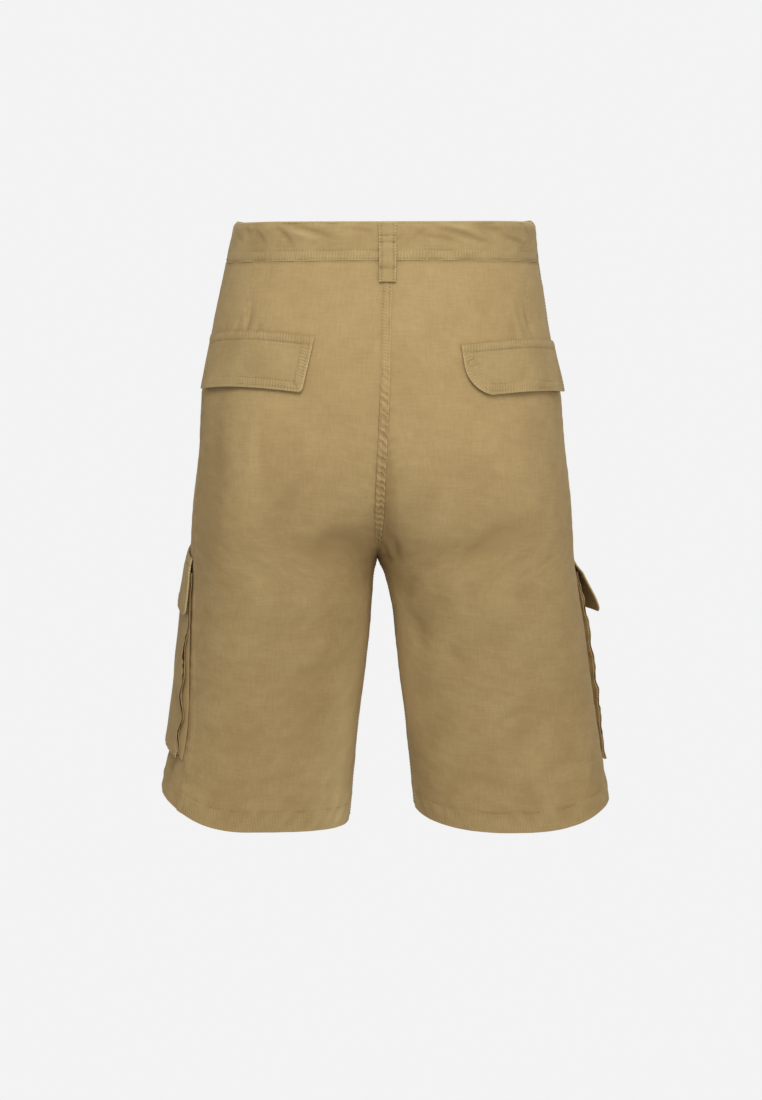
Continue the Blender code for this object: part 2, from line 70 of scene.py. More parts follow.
# Cloth
CLOTH = 0.0011
SEAM_GAP = 0.00006
BAND_OUT = 0.0007
BAND_IN = -0.0018
BAND_LAP = 0.019
BAND_LAP_STEP = 0.0016
BAND_LAP_EASE = 0.090
FLY_LAP = 0.012
FLY_EASE = 0.030
FLY_FACE = 0.0020
FLY_BOTTOM = 0.200
FLY_ROUND = 0.030
FLY_FOOT = 0.045
FLY_ROWS = (0.030, 0.036)

# The surface is sampled this finely
LEVEL_STEP = 0.001
RING_STEPS = 480
TANGENT_STEP = 0.002
FORK_SOFT = 0.014
MIDDLE_LIFT = 0.0008
SIDE_LIFT = 0.0036

# Extra lines in a grid: beside a row of stitches, and beside a rounded edge
ROW_MARKS = (-0.0014, -0.0006, 0.0, 0.0006, 0.0014)
ROUND_MARKS = (0.00012, 0.0004, 0.0009, 0.0018)


class Side(Enum):
    """The wearer's left or right."""

    LEFT = "left"
    RIGHT = "right"

    @property
    def sign(self) -> float:
        """-1 on the left, +1 on the right."""
        return 1.0 if self is Side.RIGHT else -1.0

    @property
    def other(self) -> "Side":
        """The other side."""
        return Side.LEFT if self is Side.RIGHT else Side.RIGHT


L, R = Side.LEFT, Side.RIGHT


class Cut(Enum):
    """Which panel of a half."""

    BACK = "back"
    FRONT = "front"


class Slot(Enum):
    """The record's material slots."""

    CLOTH = "ripstop_cotton"
    BUTTON = "resin_button"
    ZIP = "zip_tape"


class Levels:
    """Measures of the garment's shape, as a table of levels down from the waistband's top edge."""

    def __init__(self, names: str, *rows: tuple[float, ...]) -> None:
        """Takes the columns' names and the rows, whose first column is the level."""
        self.columns = dict(zip(names.split(), zip(*rows)))

    def at(self, name: str, down: float) -> float:
        """A smooth curve through one column.

        Args:
            name: the column's name.
            down: the level to read it at.

        Returns:
            The column's value there.
        """
        downs, values = self.columns["down"], self.columns[name]
        down = min(max(down, downs[0]), downs[-1])
        last = len(downs) - 1
        i = max(k for k in range(last) if downs[k] <= down)

        def slope(k: int) -> float:
            """The curve's slope at a row."""
            low, high = max(k - 1, 0), min(k + 1, last)
            return (values[high] - values[low]) / (downs[high] - downs[low])

        span = downs[i + 1] - downs[i]
        t = (down - downs[i]) / span
        start = t * (1 - t) ** 2 * span * slope(i)
        end = t * t * (t - 1) * span * slope(i + 1)
        return values[i] + (values[i + 1] - values[i]) * float(eased(t)) + start + end


class Lift(NamedTuple):
    """How far an edge rises, or falls if negative, at four places round the ring."""

    side: float
    back: float
    inner: float
    front: float


# How far each side's outer edge is from the middle plane, seen from behind
OUTLINE = Levels(
    "down left right",
    (0.000, 0.1460, 0.1475), (0.036, 0.1545, 0.1510), (0.072, 0.1628, 0.1568), (0.102, 0.1690, 0.1612),
    (0.162, 0.1795, 0.1725), (0.222, 0.1830, 0.1770), (0.286, 0.1905, 0.1840), (0.334, 0.1930, 0.1880),
    (0.416, 0.1990, 0.2010), (0.499, 0.2070, 0.2130), (0.550, 0.2170, 0.2210), (0.584, 0.2250, 0.2275),
)
# How far each leg's inner edge is from the middle plane
INSEAM = Levels(
    "down left right",
    (0.334, 0.0075, -0.0075), (0.346, 0.0110, -0.0005), (0.380, 0.0139, 0.0080), (0.416, 0.0169, 0.0120),
    (0.499, 0.0275, 0.0220), (0.584, 0.0355, 0.0303),
)
# The outline from the side
DEPTH = Levels(
    "down back front",
    (0.000, -0.116, 0.116), (0.036, -0.120, 0.119), (0.102, -0.134, 0.123), (0.162, -0.143, 0.124),
    (0.222, -0.146, 0.121), (0.286, -0.139, 0.116), (0.334, -0.130, 0.111), (0.416, -0.113, 0.102),
    (0.499, -0.103, 0.094), (0.584, -0.098, 0.086),
)
# How the trunk parts into two legs, and the line of the seat and front seams
RISE = Levels(
    "down split seat_share front_share seam_x",
    (0.000, 0.00, 1.000, 1.000, -0.0010), (0.036, 0.04, 1.000, 1.000, -0.0010),
    (0.102, 0.22, 0.999, 0.998, -0.0028), (0.162, 0.45, 0.988, 0.980, -0.0045),
    (0.222, 0.68, 0.955, 0.930, -0.0080), (0.258, 0.80, 0.890, 0.830, -0.0095),
    (0.288, 0.90, 0.750, 0.660, -0.0095), (0.314, 0.97, 0.480, 0.410, -0.0085),
    (0.334, 1.00, 0.000, 0.000, -0.0075),
)
# How square the rings are: 2 is an ellipse
SQUARENESS = Levels("down power", (0.000, 2.15), (0.162, 2.45), (0.334, 2.50), (0.584, 2.50))
# How far the side seam has turned towards the back, in degrees
TURN = Levels(
    "down left right",
    (0.000, 2.0, 2.0), (0.162, 8.0, 0.0), (0.334, 20.0, -8.0), (0.416, 28.0, -9.0), (0.499, 37.0, -9.0),
    (0.584, 39.0, -8.0),
)
WAIST_LIFT = Lift(-0.0035, 0.0065, 0.000, -0.020)
FRONT_SWEEP = 1.3
SIDE_SWEEP = 8
HEM_LIFT = {L: Lift(0.019, -0.008, -0.015, 0.000), R: Lift(0.0065, -0.011, -0.003, 0.002)}
MOST_SHARE = 0.9995
RISE_DIP = 0.010
RISE_DIP_FROM = 0.140


class Crease(NamedTuple):
    """A trough (negative height) or a ridge: a line on the cloth, bowed by bow, this wide and high.

    On a panel, across is the distance ahead of the side seam (behind it if negative). down is the level.
    """

    from_across: float
    from_down: float
    to_across: float
    to_down: float
    width: float
    height: float
    bow: float = 0.0


def creases(*rows: tuple[float, ...]) -> tuple[Crease, ...]:
    """Creases whose sizes are given in millimetres."""
    return tuple(Crease(*(value / 1000 for value in row)) for row in rows)


CREASES = {
    L: creases(
        (-135, 190, -120, 335, 20, -2.2), (-165, 180, -150, 300, 16, 0.6),
        (-192, 336, -164, 282, 31, -2.4), (-30, 200, -20, 380, 22, -2.8),
        (-100, 430, -155, 520, 28, -1.8), (235, 290, 120, 225, 20, 2.6), (250, 330, 110, 290, 22, -2.4),
        (-85, 78, -83, 106, 2.6, -1.5, 1), (-73, 84, -70, 107, 3, -1.3, 1),
        (-99, 88, -98, 107, 2.8, -1.1, 1), (-52, 92, -50, 108, 2.8, -0.8, 1),
        (-118, 172, -112, 262, 7, -1.2, 4), (-101, 180, -92, 250, 6, 0.6, -3),
        (-150, 182, -146, 232, 7, -0.6, 3), (-56, 140, -50, 330, 17, -3, 4),
        (-20, 150, -10, 330, 10, 1.2, 4), (-205, 292, -150, 320, 12, -2, 6),
        (-160, 300, -130, 318, 12, -1.2, 4), (-235, 322, -165, 345, 10, -0.9, -5),
        (-170, 445, -118, 432, 12, -0.9, 5), (-150, 415, -125, 455, 9, -0.8, 4),
        (-60, 470, -48, 560, 11, -0.8, 4), (-215, 400, -190, 500, 12, 0.7, 4),
        (-150, 528, -80, 538, 6, -0.5, 3), (23, 538, 37, 576, 3.6, -4.2, 2),
        (32, 540, 46, 566, 4.2, 2.2, 2), (-200, 548, -160, 540, 6, -0.5, 3),
        (228, 300, 150, 262, 8, -1.3, 5), (245, 310, 160, 300, 8, 1, -4), (220, 345, 150, 330, 9, -1, 5),
        (70, 120, 110, 220, 12, -0.8, 6),
    ),
    R: creases(
        (-255, 328, -130, 284, 22, -2.4), (-225, 352, -100, 395, 22, 1.6), (-60, 180, -45, 330, 22, 1.6),
        (-150, 420, -90, 500, 30, -1.8), (230, 285, 110, 235, 22, 2.4), (240, 325, 120, 280, 20, -2.6),
        (210, 430, 190, 540, 26, 2), (-82, 78, -80, 110, 2.8, -1.5, 1), (-92, 72, -90, 111, 3, -1.5, -1),
        (-105, 90, -106, 113, 2.8, -0.9, 1), (-270, 180, -306, 322, 8, -3.8, -4),
        (-312, 300, -317, 327, 3.8, -3, 1), (-302, 297, -306, 327, 3.8, 2, 1),
        (-291, 291, -296, 325, 4.4, -3.4, 2), (-285, 336, -297, 366, 8, -1.4, 2),
        (-240, 215, -236, 300, 12, 1.2, 4), (-240, 318, -170, 282, 10, -1.7, -6),
        (-200, 290, -140, 272, 10, -1.1, -6), (-284, 368, -270, 418, 11, -2.6, 3),
        (-248, 398, -222, 428, 9, -1.4, 4), (-190, 352, -120, 372, 11, -0.9, 5),
        (-195, 484, -155, 462, 6, -1.2, 4), (-120, 462, -85, 520, 10, -0.7, 3),
        (-72, 168, -60, 250, 7, -0.7, -3), (-180, 500, -140, 560, 12, 0.6, 4),
        (-235, 532, -190, 546, 6, -0.6, 3), (-150, 530, -90, 520, 7, -0.6, 3),
        (225, 300, 160, 255, 8, -1.2, -5), (240, 318, 150, 306, 8, 1.1, 4),
        (215, 352, 150, 325, 9, -1, 4), (80, 110, 120, 225, 12, -0.9, -6),
    ),
}
# The waistband's, whose across is the distance left of the middle of the back
BAND_CREASES = creases(
    (106, 1, 50, 17, 2.3, -1.1), (112, 6, 62, 20, 2.2, 0.6), (118, 2, 90, 24, 2.2, -1),
    (44, 6, 12, 12, 2.2, -0.6), (142, 8, 122, 22, 2.4, -0.7), (162, 4, 146, 16, 2.4, -0.6),
    (-46, 6, -106, 23, 2.3, -1.1), (-52, 2, -98, 15, 2.2, 0.6), (-26, 13, -76, 21, 2.1, -0.7),
    (-84, 3, -124, 13, 2.2, -0.9), (-120, 15, -156, 23, 2.2, -0.7), (-150, 3, -166, 15, 2.4, -0.6),
    (250, 4, 205, 19, 2.4, -0.8), (305, 16, 268, 6, 2.3, -0.6), (360, 3, 325, 18, 2.2, -0.8),
    (-235, 18, -200, 5, 2.4, -0.7), (-300, 3, -256, 19, 2.3, -0.9), (-352, 17, -318, 6, 2.2, -0.6),
)
FOLD_FADE = 0.15


class FlapCut(NamedTuple):
    """Where a flap lies on its panel, and its shape."""

    top: float
    height: float
    near: float
    far: float
    near_slant: float
    corner: float
    lift: float
    lift_near: float
    drop: float


SEAT_FLAPS = {
    L: FlapCut(0.1050, 0.0525, 0.0670, 0.2120, 0.0110, 0.004, 0.0024, 0.0, -0.005),
    R: FlapCut(0.1130, 0.0490, 0.0710, 0.2160, 0.0080, 0.030, 0.0030, 0.0, -0.004),
}
CARGO_FLAPS = {
    L: FlapCut(0.3250, 0.0600, 0.0005, 0.1740, 0.0, 0.008, 0.0002, 0.0, 0.0),
    R: FlapCut(0.3410, 0.0620, 0.0020, 0.1740, 0.0, 0.008, 0.0020, 0.0085, 0.0),
}
CORNER_SHARE = 0.97
FLAP_CLOTH = 0.0017
REST_GAP = 0.0005


class Hug(NamedTuple):
    """How a cargo bag's back edge hangs: waves, lean, how its top hugs the leg, and droop."""

    waves: float
    edge_wave: float
    wavelength: float
    lean_top: float
    lean_foot: float
    share: float
    droop: float


HUGS = {
    L: Hug(0.0024, 0.0038, 0.045, -0.003, 0.010, 0.50, 0.0),
    R: Hug(0.0013, 0.0016, 0.028, 0.0, 0.001, 0.10, 0.006),
}


class Stand(NamedTuple):
    """How far a cargo bag stands off its leg, at the mouth, half way down and at the bottom."""

    mouth: float
    middle: float
    bottom: float


class DartCut(NamedTuple):
    """A back dart: how far from the seat seam it starts and ends, and the level where it ends."""

    top: float
    foot: float
    down: float


DARTS = {L: DartCut(0.138, 0.145, 0.100), R: DartCut(0.146, 0.156, 0.109)}
FRONT_LOOP_AHEAD = 0.085
CARGO_AHEAD = 0.006
CARGO_WIDTH = 0.165
CARGO_DEPTH = 0.194
CARGO_TOP = {L: 0.341, R: 0.357}
BAG_STAND = {L: Stand(0.0022, 0.0074, 0.0056), R: Stand(0.0062, 0.0108, 0.0068)}


def eased(t: Array) -> Array:
    """From 0 to 1, slow at both ends."""
    t = np.clip(t, 0.0, 1.0)
    return t * t * (3 - 2 * t)


class Ring:
    """One level of one half: points from the seat seam round the outside to the front seam."""

    def __init__(self, side: Side, down: float) -> None:
        """Works out the ring's points, its length and where the side seam crosses it.

        Args:
            side: the side of the half.
            down: the level of the ring.
        """
        self.side, self.down = side, down
        self.power = SQUARENESS.at("power", down)
        self.out = OUTLINE.at(side.value, down)
        self.inner = self.inner_edge()
        split = RISE.at("split", down)
        self.middle_x = self.inner + split * (self.out - self.inner) / 2
        seat_start, seat_reach = self.cut("seat_share")
        front_start, front_reach = self.cut("front_share")
        angles = np.linspace(-seat_start, front_start, RING_STEPS + 1)
        starts = np.where(angles < 0, seat_start, front_start)
        reaches = np.where(angles < 0, seat_reach, front_reach)
        x = side.sign * self.across(angles, reaches)
        points = np.stack([x, self.along_y(angles), self.levels(angles, starts)], axis=1)
        steps = np.linalg.norm(np.diff(points, axis=0), axis=1)
        travel = np.concatenate([[0.0], np.cumsum(steps)])
        self.length = float(travel[-1])
        turn = -math.radians(TURN.at(side.value, down))
        self.side_seam = float(np.interp(turn, angles, travel))
        shares = np.linspace(0.0, self.length, RING_STEPS + 1)
        self.points = np.stack([np.interp(shares, travel, points[:, k]) for k in range(3)], axis=1)

    def inner_edge(self) -> float:
        """How far the half's inner edge is from the middle plane."""
        if self.down <= FORK_DOWN:
            return self.side.sign * RISE.at("seam_x", self.down) + SEAM_GAP / 2
        return INSEAM.at(self.side.value, self.down) + SEAM_GAP / 2

    def cut(self, share_name: str) -> tuple[float, float]:
        """The angle at which the oval meets a seam, and how wide the whole oval's inner half is."""
        share = min(max(RISE.at(share_name, self.down), 0.0), MOST_SHARE)
        cut = (1 - share**self.power) ** (1 / self.power)
        wide = self.middle_x - self.inner
        return math.pi / 2 + math.asin(cut ** (self.power / 2)), wide / cut

    def across(self, angles: Array, reaches: Array) -> Array:
        """How far each point is from the middle plane."""
        share = np.abs(np.cos(angles)) ** (2 / self.power)
        outer = self.middle_x + (self.out - self.middle_x) * share
        return np.where(np.cos(angles) >= 0, outer, np.maximum(self.middle_x - reaches * share, self.inner))

    def along_y(self, angles: Array) -> Array:
        """How far forward each point is."""
        back, front = DEPTH.at("back", self.down), DEPTH.at("front", self.down)
        middle = (back + front) / 2
        share = np.abs(np.sin(angles)) ** (2 / self.power)
        return middle + np.where(angles < 0, back - middle, front - middle) * share

    def levels(self, angles: Array, starts: Array) -> Array:
        """The height of each point: the waist and the hems aren't level, and rows dip towards the fork.

        Args:
            angles: the angles round the ring, from the side seam.
            starts: the ring's angles where the panels start.

        Returns:
            The level at each angle.
        """
        bent = np.clip(angles, -math.pi / 2, math.pi / 2)
        swing = np.sin(bent) ** 2
        past_side = np.abs(angles) - math.pi / 2
        inward = eased(past_side / np.maximum(starts - math.pi / 2, 1e-6))
        waist = 1 - eased((self.down - BAND_HEIGHT) / (FORK_DOWN - BAND_HEIGHT))
        hem = max(self.down - FORK_DOWN, 0.0) / (HEM_DOWN - FORK_DOWN)
        lift = HEM_LIFT[self.side]
        front_fall = WAIST_LIFT.front * np.abs(np.sin(bent)) ** FRONT_SWEEP
        hem_far = np.where(angles < 0, lift.back, lift.front)
        side_fall = WAIST_LIFT.side * np.cos(bent) ** SIDE_SWEEP
        z = -self.down + waist * (side_fall + np.where(angles < 0, WAIST_LIFT.back * swing, front_fall))
        z += hem * (lift.side + (hem_far - lift.side) * swing + (lift.inner - hem_far) * inward)
        t = min(max((self.down - RISE_DIP_FROM) / (FORK_DOWN - RISE_DIP_FROM), 0.0), 1.0)
        return z - inward * RISE_DIP * math.sin(math.pi * t) ** 2


def crease_height(across: Array, down: Array, table: Sequence[Crease], wander: float = 0.0) -> Array:
    """How far some creases lift the cloth, or sink it.

    Args:
        across: the distances across the cloth.
        down: the levels.
        table: the creases.
        wander: how far each wanders from its line.

    Returns:
        The heights, in metres.
    """
    height = np.zeros(np.broadcast(down, across).shape)
    for crease in table:
        run = (crease.to_across - crease.from_across, crease.to_down - crease.from_down)
        length = math.hypot(*run)
        offset = (across - crease.from_across, down - crease.from_down)
        t = (offset[0] * run[0] + offset[1] * run[1]) / length**2
        away = (offset[0] * run[1] - offset[1] * run[0]) / length
        away = away - crease.bow * 4 * t * (1 - t) + wander * np.sin(2.5 * t)
        fade = np.sin(math.pi * np.clip((t + FOLD_FADE) / (1 + 2 * FOLD_FADE), 0.0, 1.0)) ** 2
        height += crease.height * fade * near(away, crease.width)
    return height


class Half:
    """One half of the shorts as a smooth surface, read at a level and a distance round."""

    def __init__(self, side: Side) -> None:
        """Samples the half's rings.

        Args:
            side: the side of the garment.
        """
        self.side = side
        self.downs = np.arange(0.0, HEM_DOWN + LEVEL_STEP / 2, LEVEL_STEP)
        rings = [Ring(side, float(down)) for down in self.downs]
        self.grid = np.stack([ring.points for ring in rings])
        self.lengths = np.array([ring.length for ring in rings])
        self.seams = np.array([ring.side_seam for ring in rings])
        self.soften_fork()
        share = np.linspace(0.0, 1.0, RING_STEPS + 1)[None]
        lift = MIDDLE_LIFT + (SIDE_LIFT - MIDDLE_LIFT) * np.sin(math.pi * share) ** 2
        self.grid[..., 2] += lift * np.clip(1 - self.downs / BAND_HEIGHT, 0.0, 1.0)[:, None]

    def soften_fork(self) -> None:
        """Smooths the cloth past the fork, so that no line shows across the thighs."""
        reach = int(3 * FORK_SOFT / LEVEL_STEP)
        kernel = np.exp(-0.5 * (np.arange(-reach, reach + 1) * LEVEL_STEP / FORK_SOFT) ** 2)
        kernel = kernel / kernel.sum()
        top = 2 * self.grid[:1] - self.grid[reach:0:-1]
        foot = 2 * self.grid[-1:] - self.grid[-2 : -reach - 2 : -1]
        padded = np.concatenate([top, self.grid, foot])
        soft = sum(weight * padded[k : k + len(self.grid)] for k, weight in enumerate(kernel))
        share = np.linspace(0.0, 1.0, RING_STEPS + 1)
        inward = eased(np.minimum(share, 1 - share) / 0.075)[None, :, None]
        here = np.exp(-(((self.downs - FORK_DOWN) / 0.060) ** 2))[:, None, None]
        self.grid = self.grid + (soft - self.grid) * inward * here

    def length(self, down: Array) -> Array:
        """The rings' lengths."""
        return np.interp(down, self.downs, self.lengths)

    def side_seam(self, down: Array) -> Array:
        """How far round from the seat seam the side seam is."""
        return np.interp(down, self.downs, self.seams)

    def sample(self, down: Array, share: Array) -> Array:
        """The points at those levels, that share of the way round.

        Args:
            down: the levels.
            share: the shares of the way round.

        Returns:
            The points.
        """
        i = np.clip(down / LEVEL_STEP, 0.0, len(self.downs) - 1.000001)
        j = np.clip(share, 0.0, 1.0) * (RING_STEPS - 1e-6)
        i0, j0 = i.astype(int), j.astype(int)
        fi, fj = (i - i0)[..., None], (j - j0)[..., None]
        near = self.grid[i0, j0] * (1 - fj) + self.grid[i0, j0 + 1] * fj
        far = self.grid[i0 + 1, j0] * (1 - fj) + self.grid[i0 + 1, j0 + 1] * fj
        return near * (1 - fi) + far * fi

    def lifted(self, down: Array, travel: Array, off: Array) -> Array:
        """The points at those levels and distances round, folded and creased, and moved out.

        Args:
            down: the levels.
            travel: the distances round from the seat seam.
            off: how far out.

        Returns:
            The points.
        """
        down, travel, off = grids(down, travel, off)
        length = self.length(down)
        share = travel / length
        step = TANGENT_STEP / length
        ahead_share, behind_share = share + step, share - step
        leg = down >= FORK_DOWN
        ahead_share = np.where(leg & (ahead_share > 1), ahead_share - 1, ahead_share)
        behind_share = np.where(leg & (behind_share < 0), behind_share + 1, behind_share)
        round_it = self.sample(down, ahead_share) - self.sample(down, behind_share)
        down_it = self.sample(down + TANGENT_STEP, share) - self.sample(down - TANGENT_STEP, share)
        normal = unit(np.cross(round_it, down_it) * -self.side.sign)
        ahead = travel - self.side_seam(down)
        height = crease_height(ahead, down, CREASES[self.side])
        return self.sample(down, share) + (off + height)[..., None] * normal


HALVES: dict[Side, Half] = {}


def from_side_seam(side: Side, start: float = 0.0) -> Place:
    """Places points by their distance ahead of a side seam, or of a line that far ahead of it.

    Args:
        side: the side of the garment.
        start: where to measure from, ahead of the side seam.

    Returns:
        The function that places points.
    """

    def place(down: Array, ahead: Array, off: Array) -> Array:
        """The points there."""
        return HALVES[side].lifted(down, HALVES[side].side_seam(down) + start + ahead, off)

    return place


def from_middle(side: Side, cut: Cut) -> Place:
    """Places points by their distance from the seat or front seam, over onto the other side if negative.

    Args:
        side: the side of the garment.
        cut: the seat seam or the front seam.

    Returns:
        The function that places points.
    """

    def place(down: Array, away: Array, off: Array) -> Array:
        """The points there.

        Args:
            down: the levels, below the waistband's top edge.
            away: the distances from the seam.
            off: the distances out from the body.

        Returns:
            The points.
        """
        down, away, off = grids(down, away, off)
        both = []
        for half in (HALVES[side], HALVES[side.other]):
            travel = np.abs(away) if cut is Cut.BACK else half.length(down) - np.abs(away)
            both.append(half.lifted(down, travel, off))
        return np.where((away < 0)[..., None], both[1], both[0])

    return place


class Ripple:
    """Smooth uneven variation from -1 to 1 along one or two lengths, the same in each run."""

    def __init__(self, seed: int, wavelength: float, waves: int = 7) -> None:
        """Draws the waves' directions, lengths and phases.

        Args:
            seed: the seed of its unevenness.
            wavelength: the length of one wave.
            waves: how many waves are summed.
        """
        draw = np.random.default_rng(seed)
        angles = draw.uniform(0, 2 * math.pi, waves)
        sizes = 2 * math.pi / (wavelength * draw.uniform(0.7, 1.6, waves))
        self.along, self.across = np.cos(angles) * sizes, np.sin(angles) * sizes
        self.phases = draw.uniform(0, 2 * math.pi, waves)
        self.scale = 1 / math.sqrt(waves / 2) / 1.6

    def __call__(self, a: Array, b: Array = 0.0) -> Array:
        """The variation there."""
        total = np.zeros(np.broadcast(a, b).shape)
        for along, across, phase in zip(self.along, self.across, self.phases):
            total += np.sin(along * np.asarray(a) + across * np.asarray(b) + phase)
        return np.clip(total * self.scale, -1.0, 1.0)


def near(distance: Array, width: float) -> Array:
    """1 at a line, falling to 0 over about that width on both sides of it."""
    return np.exp(-((distance / width) ** 2))


def marks(length: float, step: float, lines: Sequence[float] = ()) -> Array:
    """Where a grid's lines go: evenly, closer at its rounded edges and beside rows of stitches.

    Args:
        length: how long the grid is.
        step: the even spacing.
        lines: where rows of stitches run.

    Returns:
        The places, from 0 to the length.
    """
    places = list(np.linspace(0.0, length, max(2, round(length / step)) + 1))
    for line in lines:
        places += [line + d for d in ROW_MARKS]
    for start, way in ((0.0, 1), (length, -1)):
        places += [start + way * d for d in ROUND_MARKS]
    places = sorted(p for p in places if 0.0 <= p <= length)
    kept = [0.0]
    for place in places[1:]:
        if place - kept[-1] > 0.0001:
            kept.append(place)
    kept[-1] = length
    return np.array(kept)


def rounded(distance: Array, thickness: float) -> Array:
    """The share of a wall's thickness that is left that far from its rounded edge."""
    t = np.clip(distance / (0.6 * thickness), 0.0, 1.0)
    return np.maximum(np.sqrt(1 - (1 - t) ** 2), 0.3)


def groove(distance: Array, along: Array, seed: int, depth: float = 0.00022, pitch: float = 0.0030) -> Array:
    """The trough that a row of stitches pulls, deeper at each hole.

    Args:
        distance: how far each point is from the row.
        along: how far along the row it is.
        seed: for the row's unevenness.
        depth: the trough's depth.
        pitch: the spacing of the holes.

    Returns:
        The heights, none above zero.
    """
    uneven = 1 + 0.3 * Ripple(seed, 0.03)(along)
    holes = 0.75 + 0.25 * np.cos(2 * math.pi * along / pitch)
    return -depth * uneven * holes * near(distance, 0.0009)


def puckers(distance: Array, along: Array, seed: int, height: float, reach: float, pitch: float) -> Array:
    """The gathers beside a seam: short ridges across it, uneven in height and spacing.

    Args:
        distance: how far each point is from the seam.
        along: how far along the seam it is.
        seed: for the unevenness.
        height: the ridges' height.
        reach: how far from the seam they run.
        pitch: their usual spacing.

    Returns:
        The heights.
    """
    drift = 1.6 * Ripple(seed, 0.045)(along)
    strength = 0.55 + 0.45 * Ripple(seed + 1, 0.07)(along)
    lean = 0.8 * distance / reach
    wave = np.sin(2 * math.pi * along / pitch + drift * 2 + lean)
    return height * strength * wave * near(distance, reach)


def grids(*values: Array) -> list[Array]:
    """Arrays stretched to one shape."""
    return np.broadcast_arrays(*(np.atleast_1d(np.asarray(value, float)) for value in values))


def unit(vectors: Array) -> Array:
    """Vectors made one long."""
    return vectors / np.maximum(np.linalg.norm(vectors, axis=-1, keepdims=True), 1e-9)


def travelled(path: Array) -> Array:
    """How far along a path each of its points is."""
    steps = np.linalg.norm(np.diff(path, axis=0), axis=1)
    return np.concatenate([[0.0], np.cumsum(steps)])


def read_path(path: Array, at: Array, along: Optional[Array] = None) -> Array:
    """The points of a path at those distances along it, measured on the path itself if along isn't given."""
    along = travelled(path) if along is None else along
    return np.stack([np.interp(at, along, path[:, k]) for k in range(path.shape[1])], axis=1)


def evenly(path: Array, count: int) -> tuple[Array, Array]:
    """A path's two coordinates at that many evenly spaced places."""
    points = read_path(path, np.linspace(0.0, travelled(path)[-1], count))
    return points[:, 0], points[:, 1]


@dataclass
class Thread:
    """Rows of stitches, gathered and made into one mesh.

    Attributes:
        pitch: the distance from one stitch to the next.
        fill: the share of the pitch that a stitch covers.
        radius: the thread's radius.
    """

    pitch: float = 0.0031
    fill: float = 0.78
    radius: float = 0.00024
    rows: list[tuple[Array, ...]] = field(default_factory=list)

    def row(self, path: Array, above: Array, pitch: Optional[float] = None) -> None:
        """Adds a row of stitches along a path.

        Args:
            path: the path's points, on the cloth.
            above: the same points moved a little out of the cloth.
            pitch: the spacing, if it isn't the usual one.
        """
        pitch = pitch or self.pitch
        travel = travelled(path)
        count = max(1, int(travel[-1] / pitch))
        middles = (np.arange(count) + 0.5) * travel[-1] / count
        centre = read_path(path, middles)
        half = pitch * self.fill / 2
        way = read_path(path, middles + half) - read_path(path, middles - half)
        out = read_path(above, middles, travel) - centre
        self.rows.append((centre, unit(way), unit(out), np.full(count, pitch * self.fill)))

    def along(
        self, place: Place, down: Array, across: Array, off: Array, pitch: Optional[float] = None
    ) -> None:
        """Adds a row that a place function gives.

        Args:
            place: gives a point for a level, a distance across and a distance off.
            down: the row's levels.
            across: its distances across.
            off: how far off the cloth's face it lies.
            pitch: the spacing, if it isn't the usual one.
        """
        down, across, off = grids(down, across, off)
        self.row(place(down, across, off), place(down, across, off + 0.001), pitch)

    def build(self, name: str, material: Material, seed: int) -> Piece:
        """Makes the stitches.

        Args:
            name: the piece's name.
            material: the thread's material.
            seed: for the small differences between stitches.

        Returns:
            The piece.
        """
        centre, way, out, length = (np.concatenate(part) for part in zip(*self.rows))
        side = np.cross(way, out)
        draw = np.random.default_rng(seed)
        way = way + side * draw.normal(0.0, 0.05, (len(way), 1))
        length = length * draw.uniform(0.88, 1.06, len(length))
        stations = ((-0.5, 0.25, -0.9), (-0.26, 1.0, 0.1), (0.26, 1.0, 0.1), (0.5, 0.25, -0.9))
        corners = [(math.cos(a), math.sin(a)) for a in (0.3, 1.57, 2.84, 4.71)]
        verts = []
        for at, size, rise in stations:
            for across, up in corners:
                offset = way * (at * length)[:, None] + side * (across * size * self.radius * 1.25)
                verts.append(centre + offset + out * ((up * size + rise) * self.radius))
        verts = np.stack(verts, axis=1)
        faces = []
        for station in range(3):
            for corner in range(4):
                a, b = station * 4 + corner, station * 4 + (corner + 1) % 4
                faces.append((a, b, b + 4, a + 4))
        faces += [(3, 2, 1, 0), (12, 13, 14, 15)]
        count = len(centre)
        all_faces = (np.arange(count)[:, None, None] * 16 + np.array(faces)[None]).reshape(-1, 4)
        tone = np.repeat(draw.uniform(0.3, 0.7, count), 16)
        uv = np.zeros((len(verts) * 16, 2))
        return make_mesh(name, verts.reshape(-1, 3), all_faces, uv, tone, material)


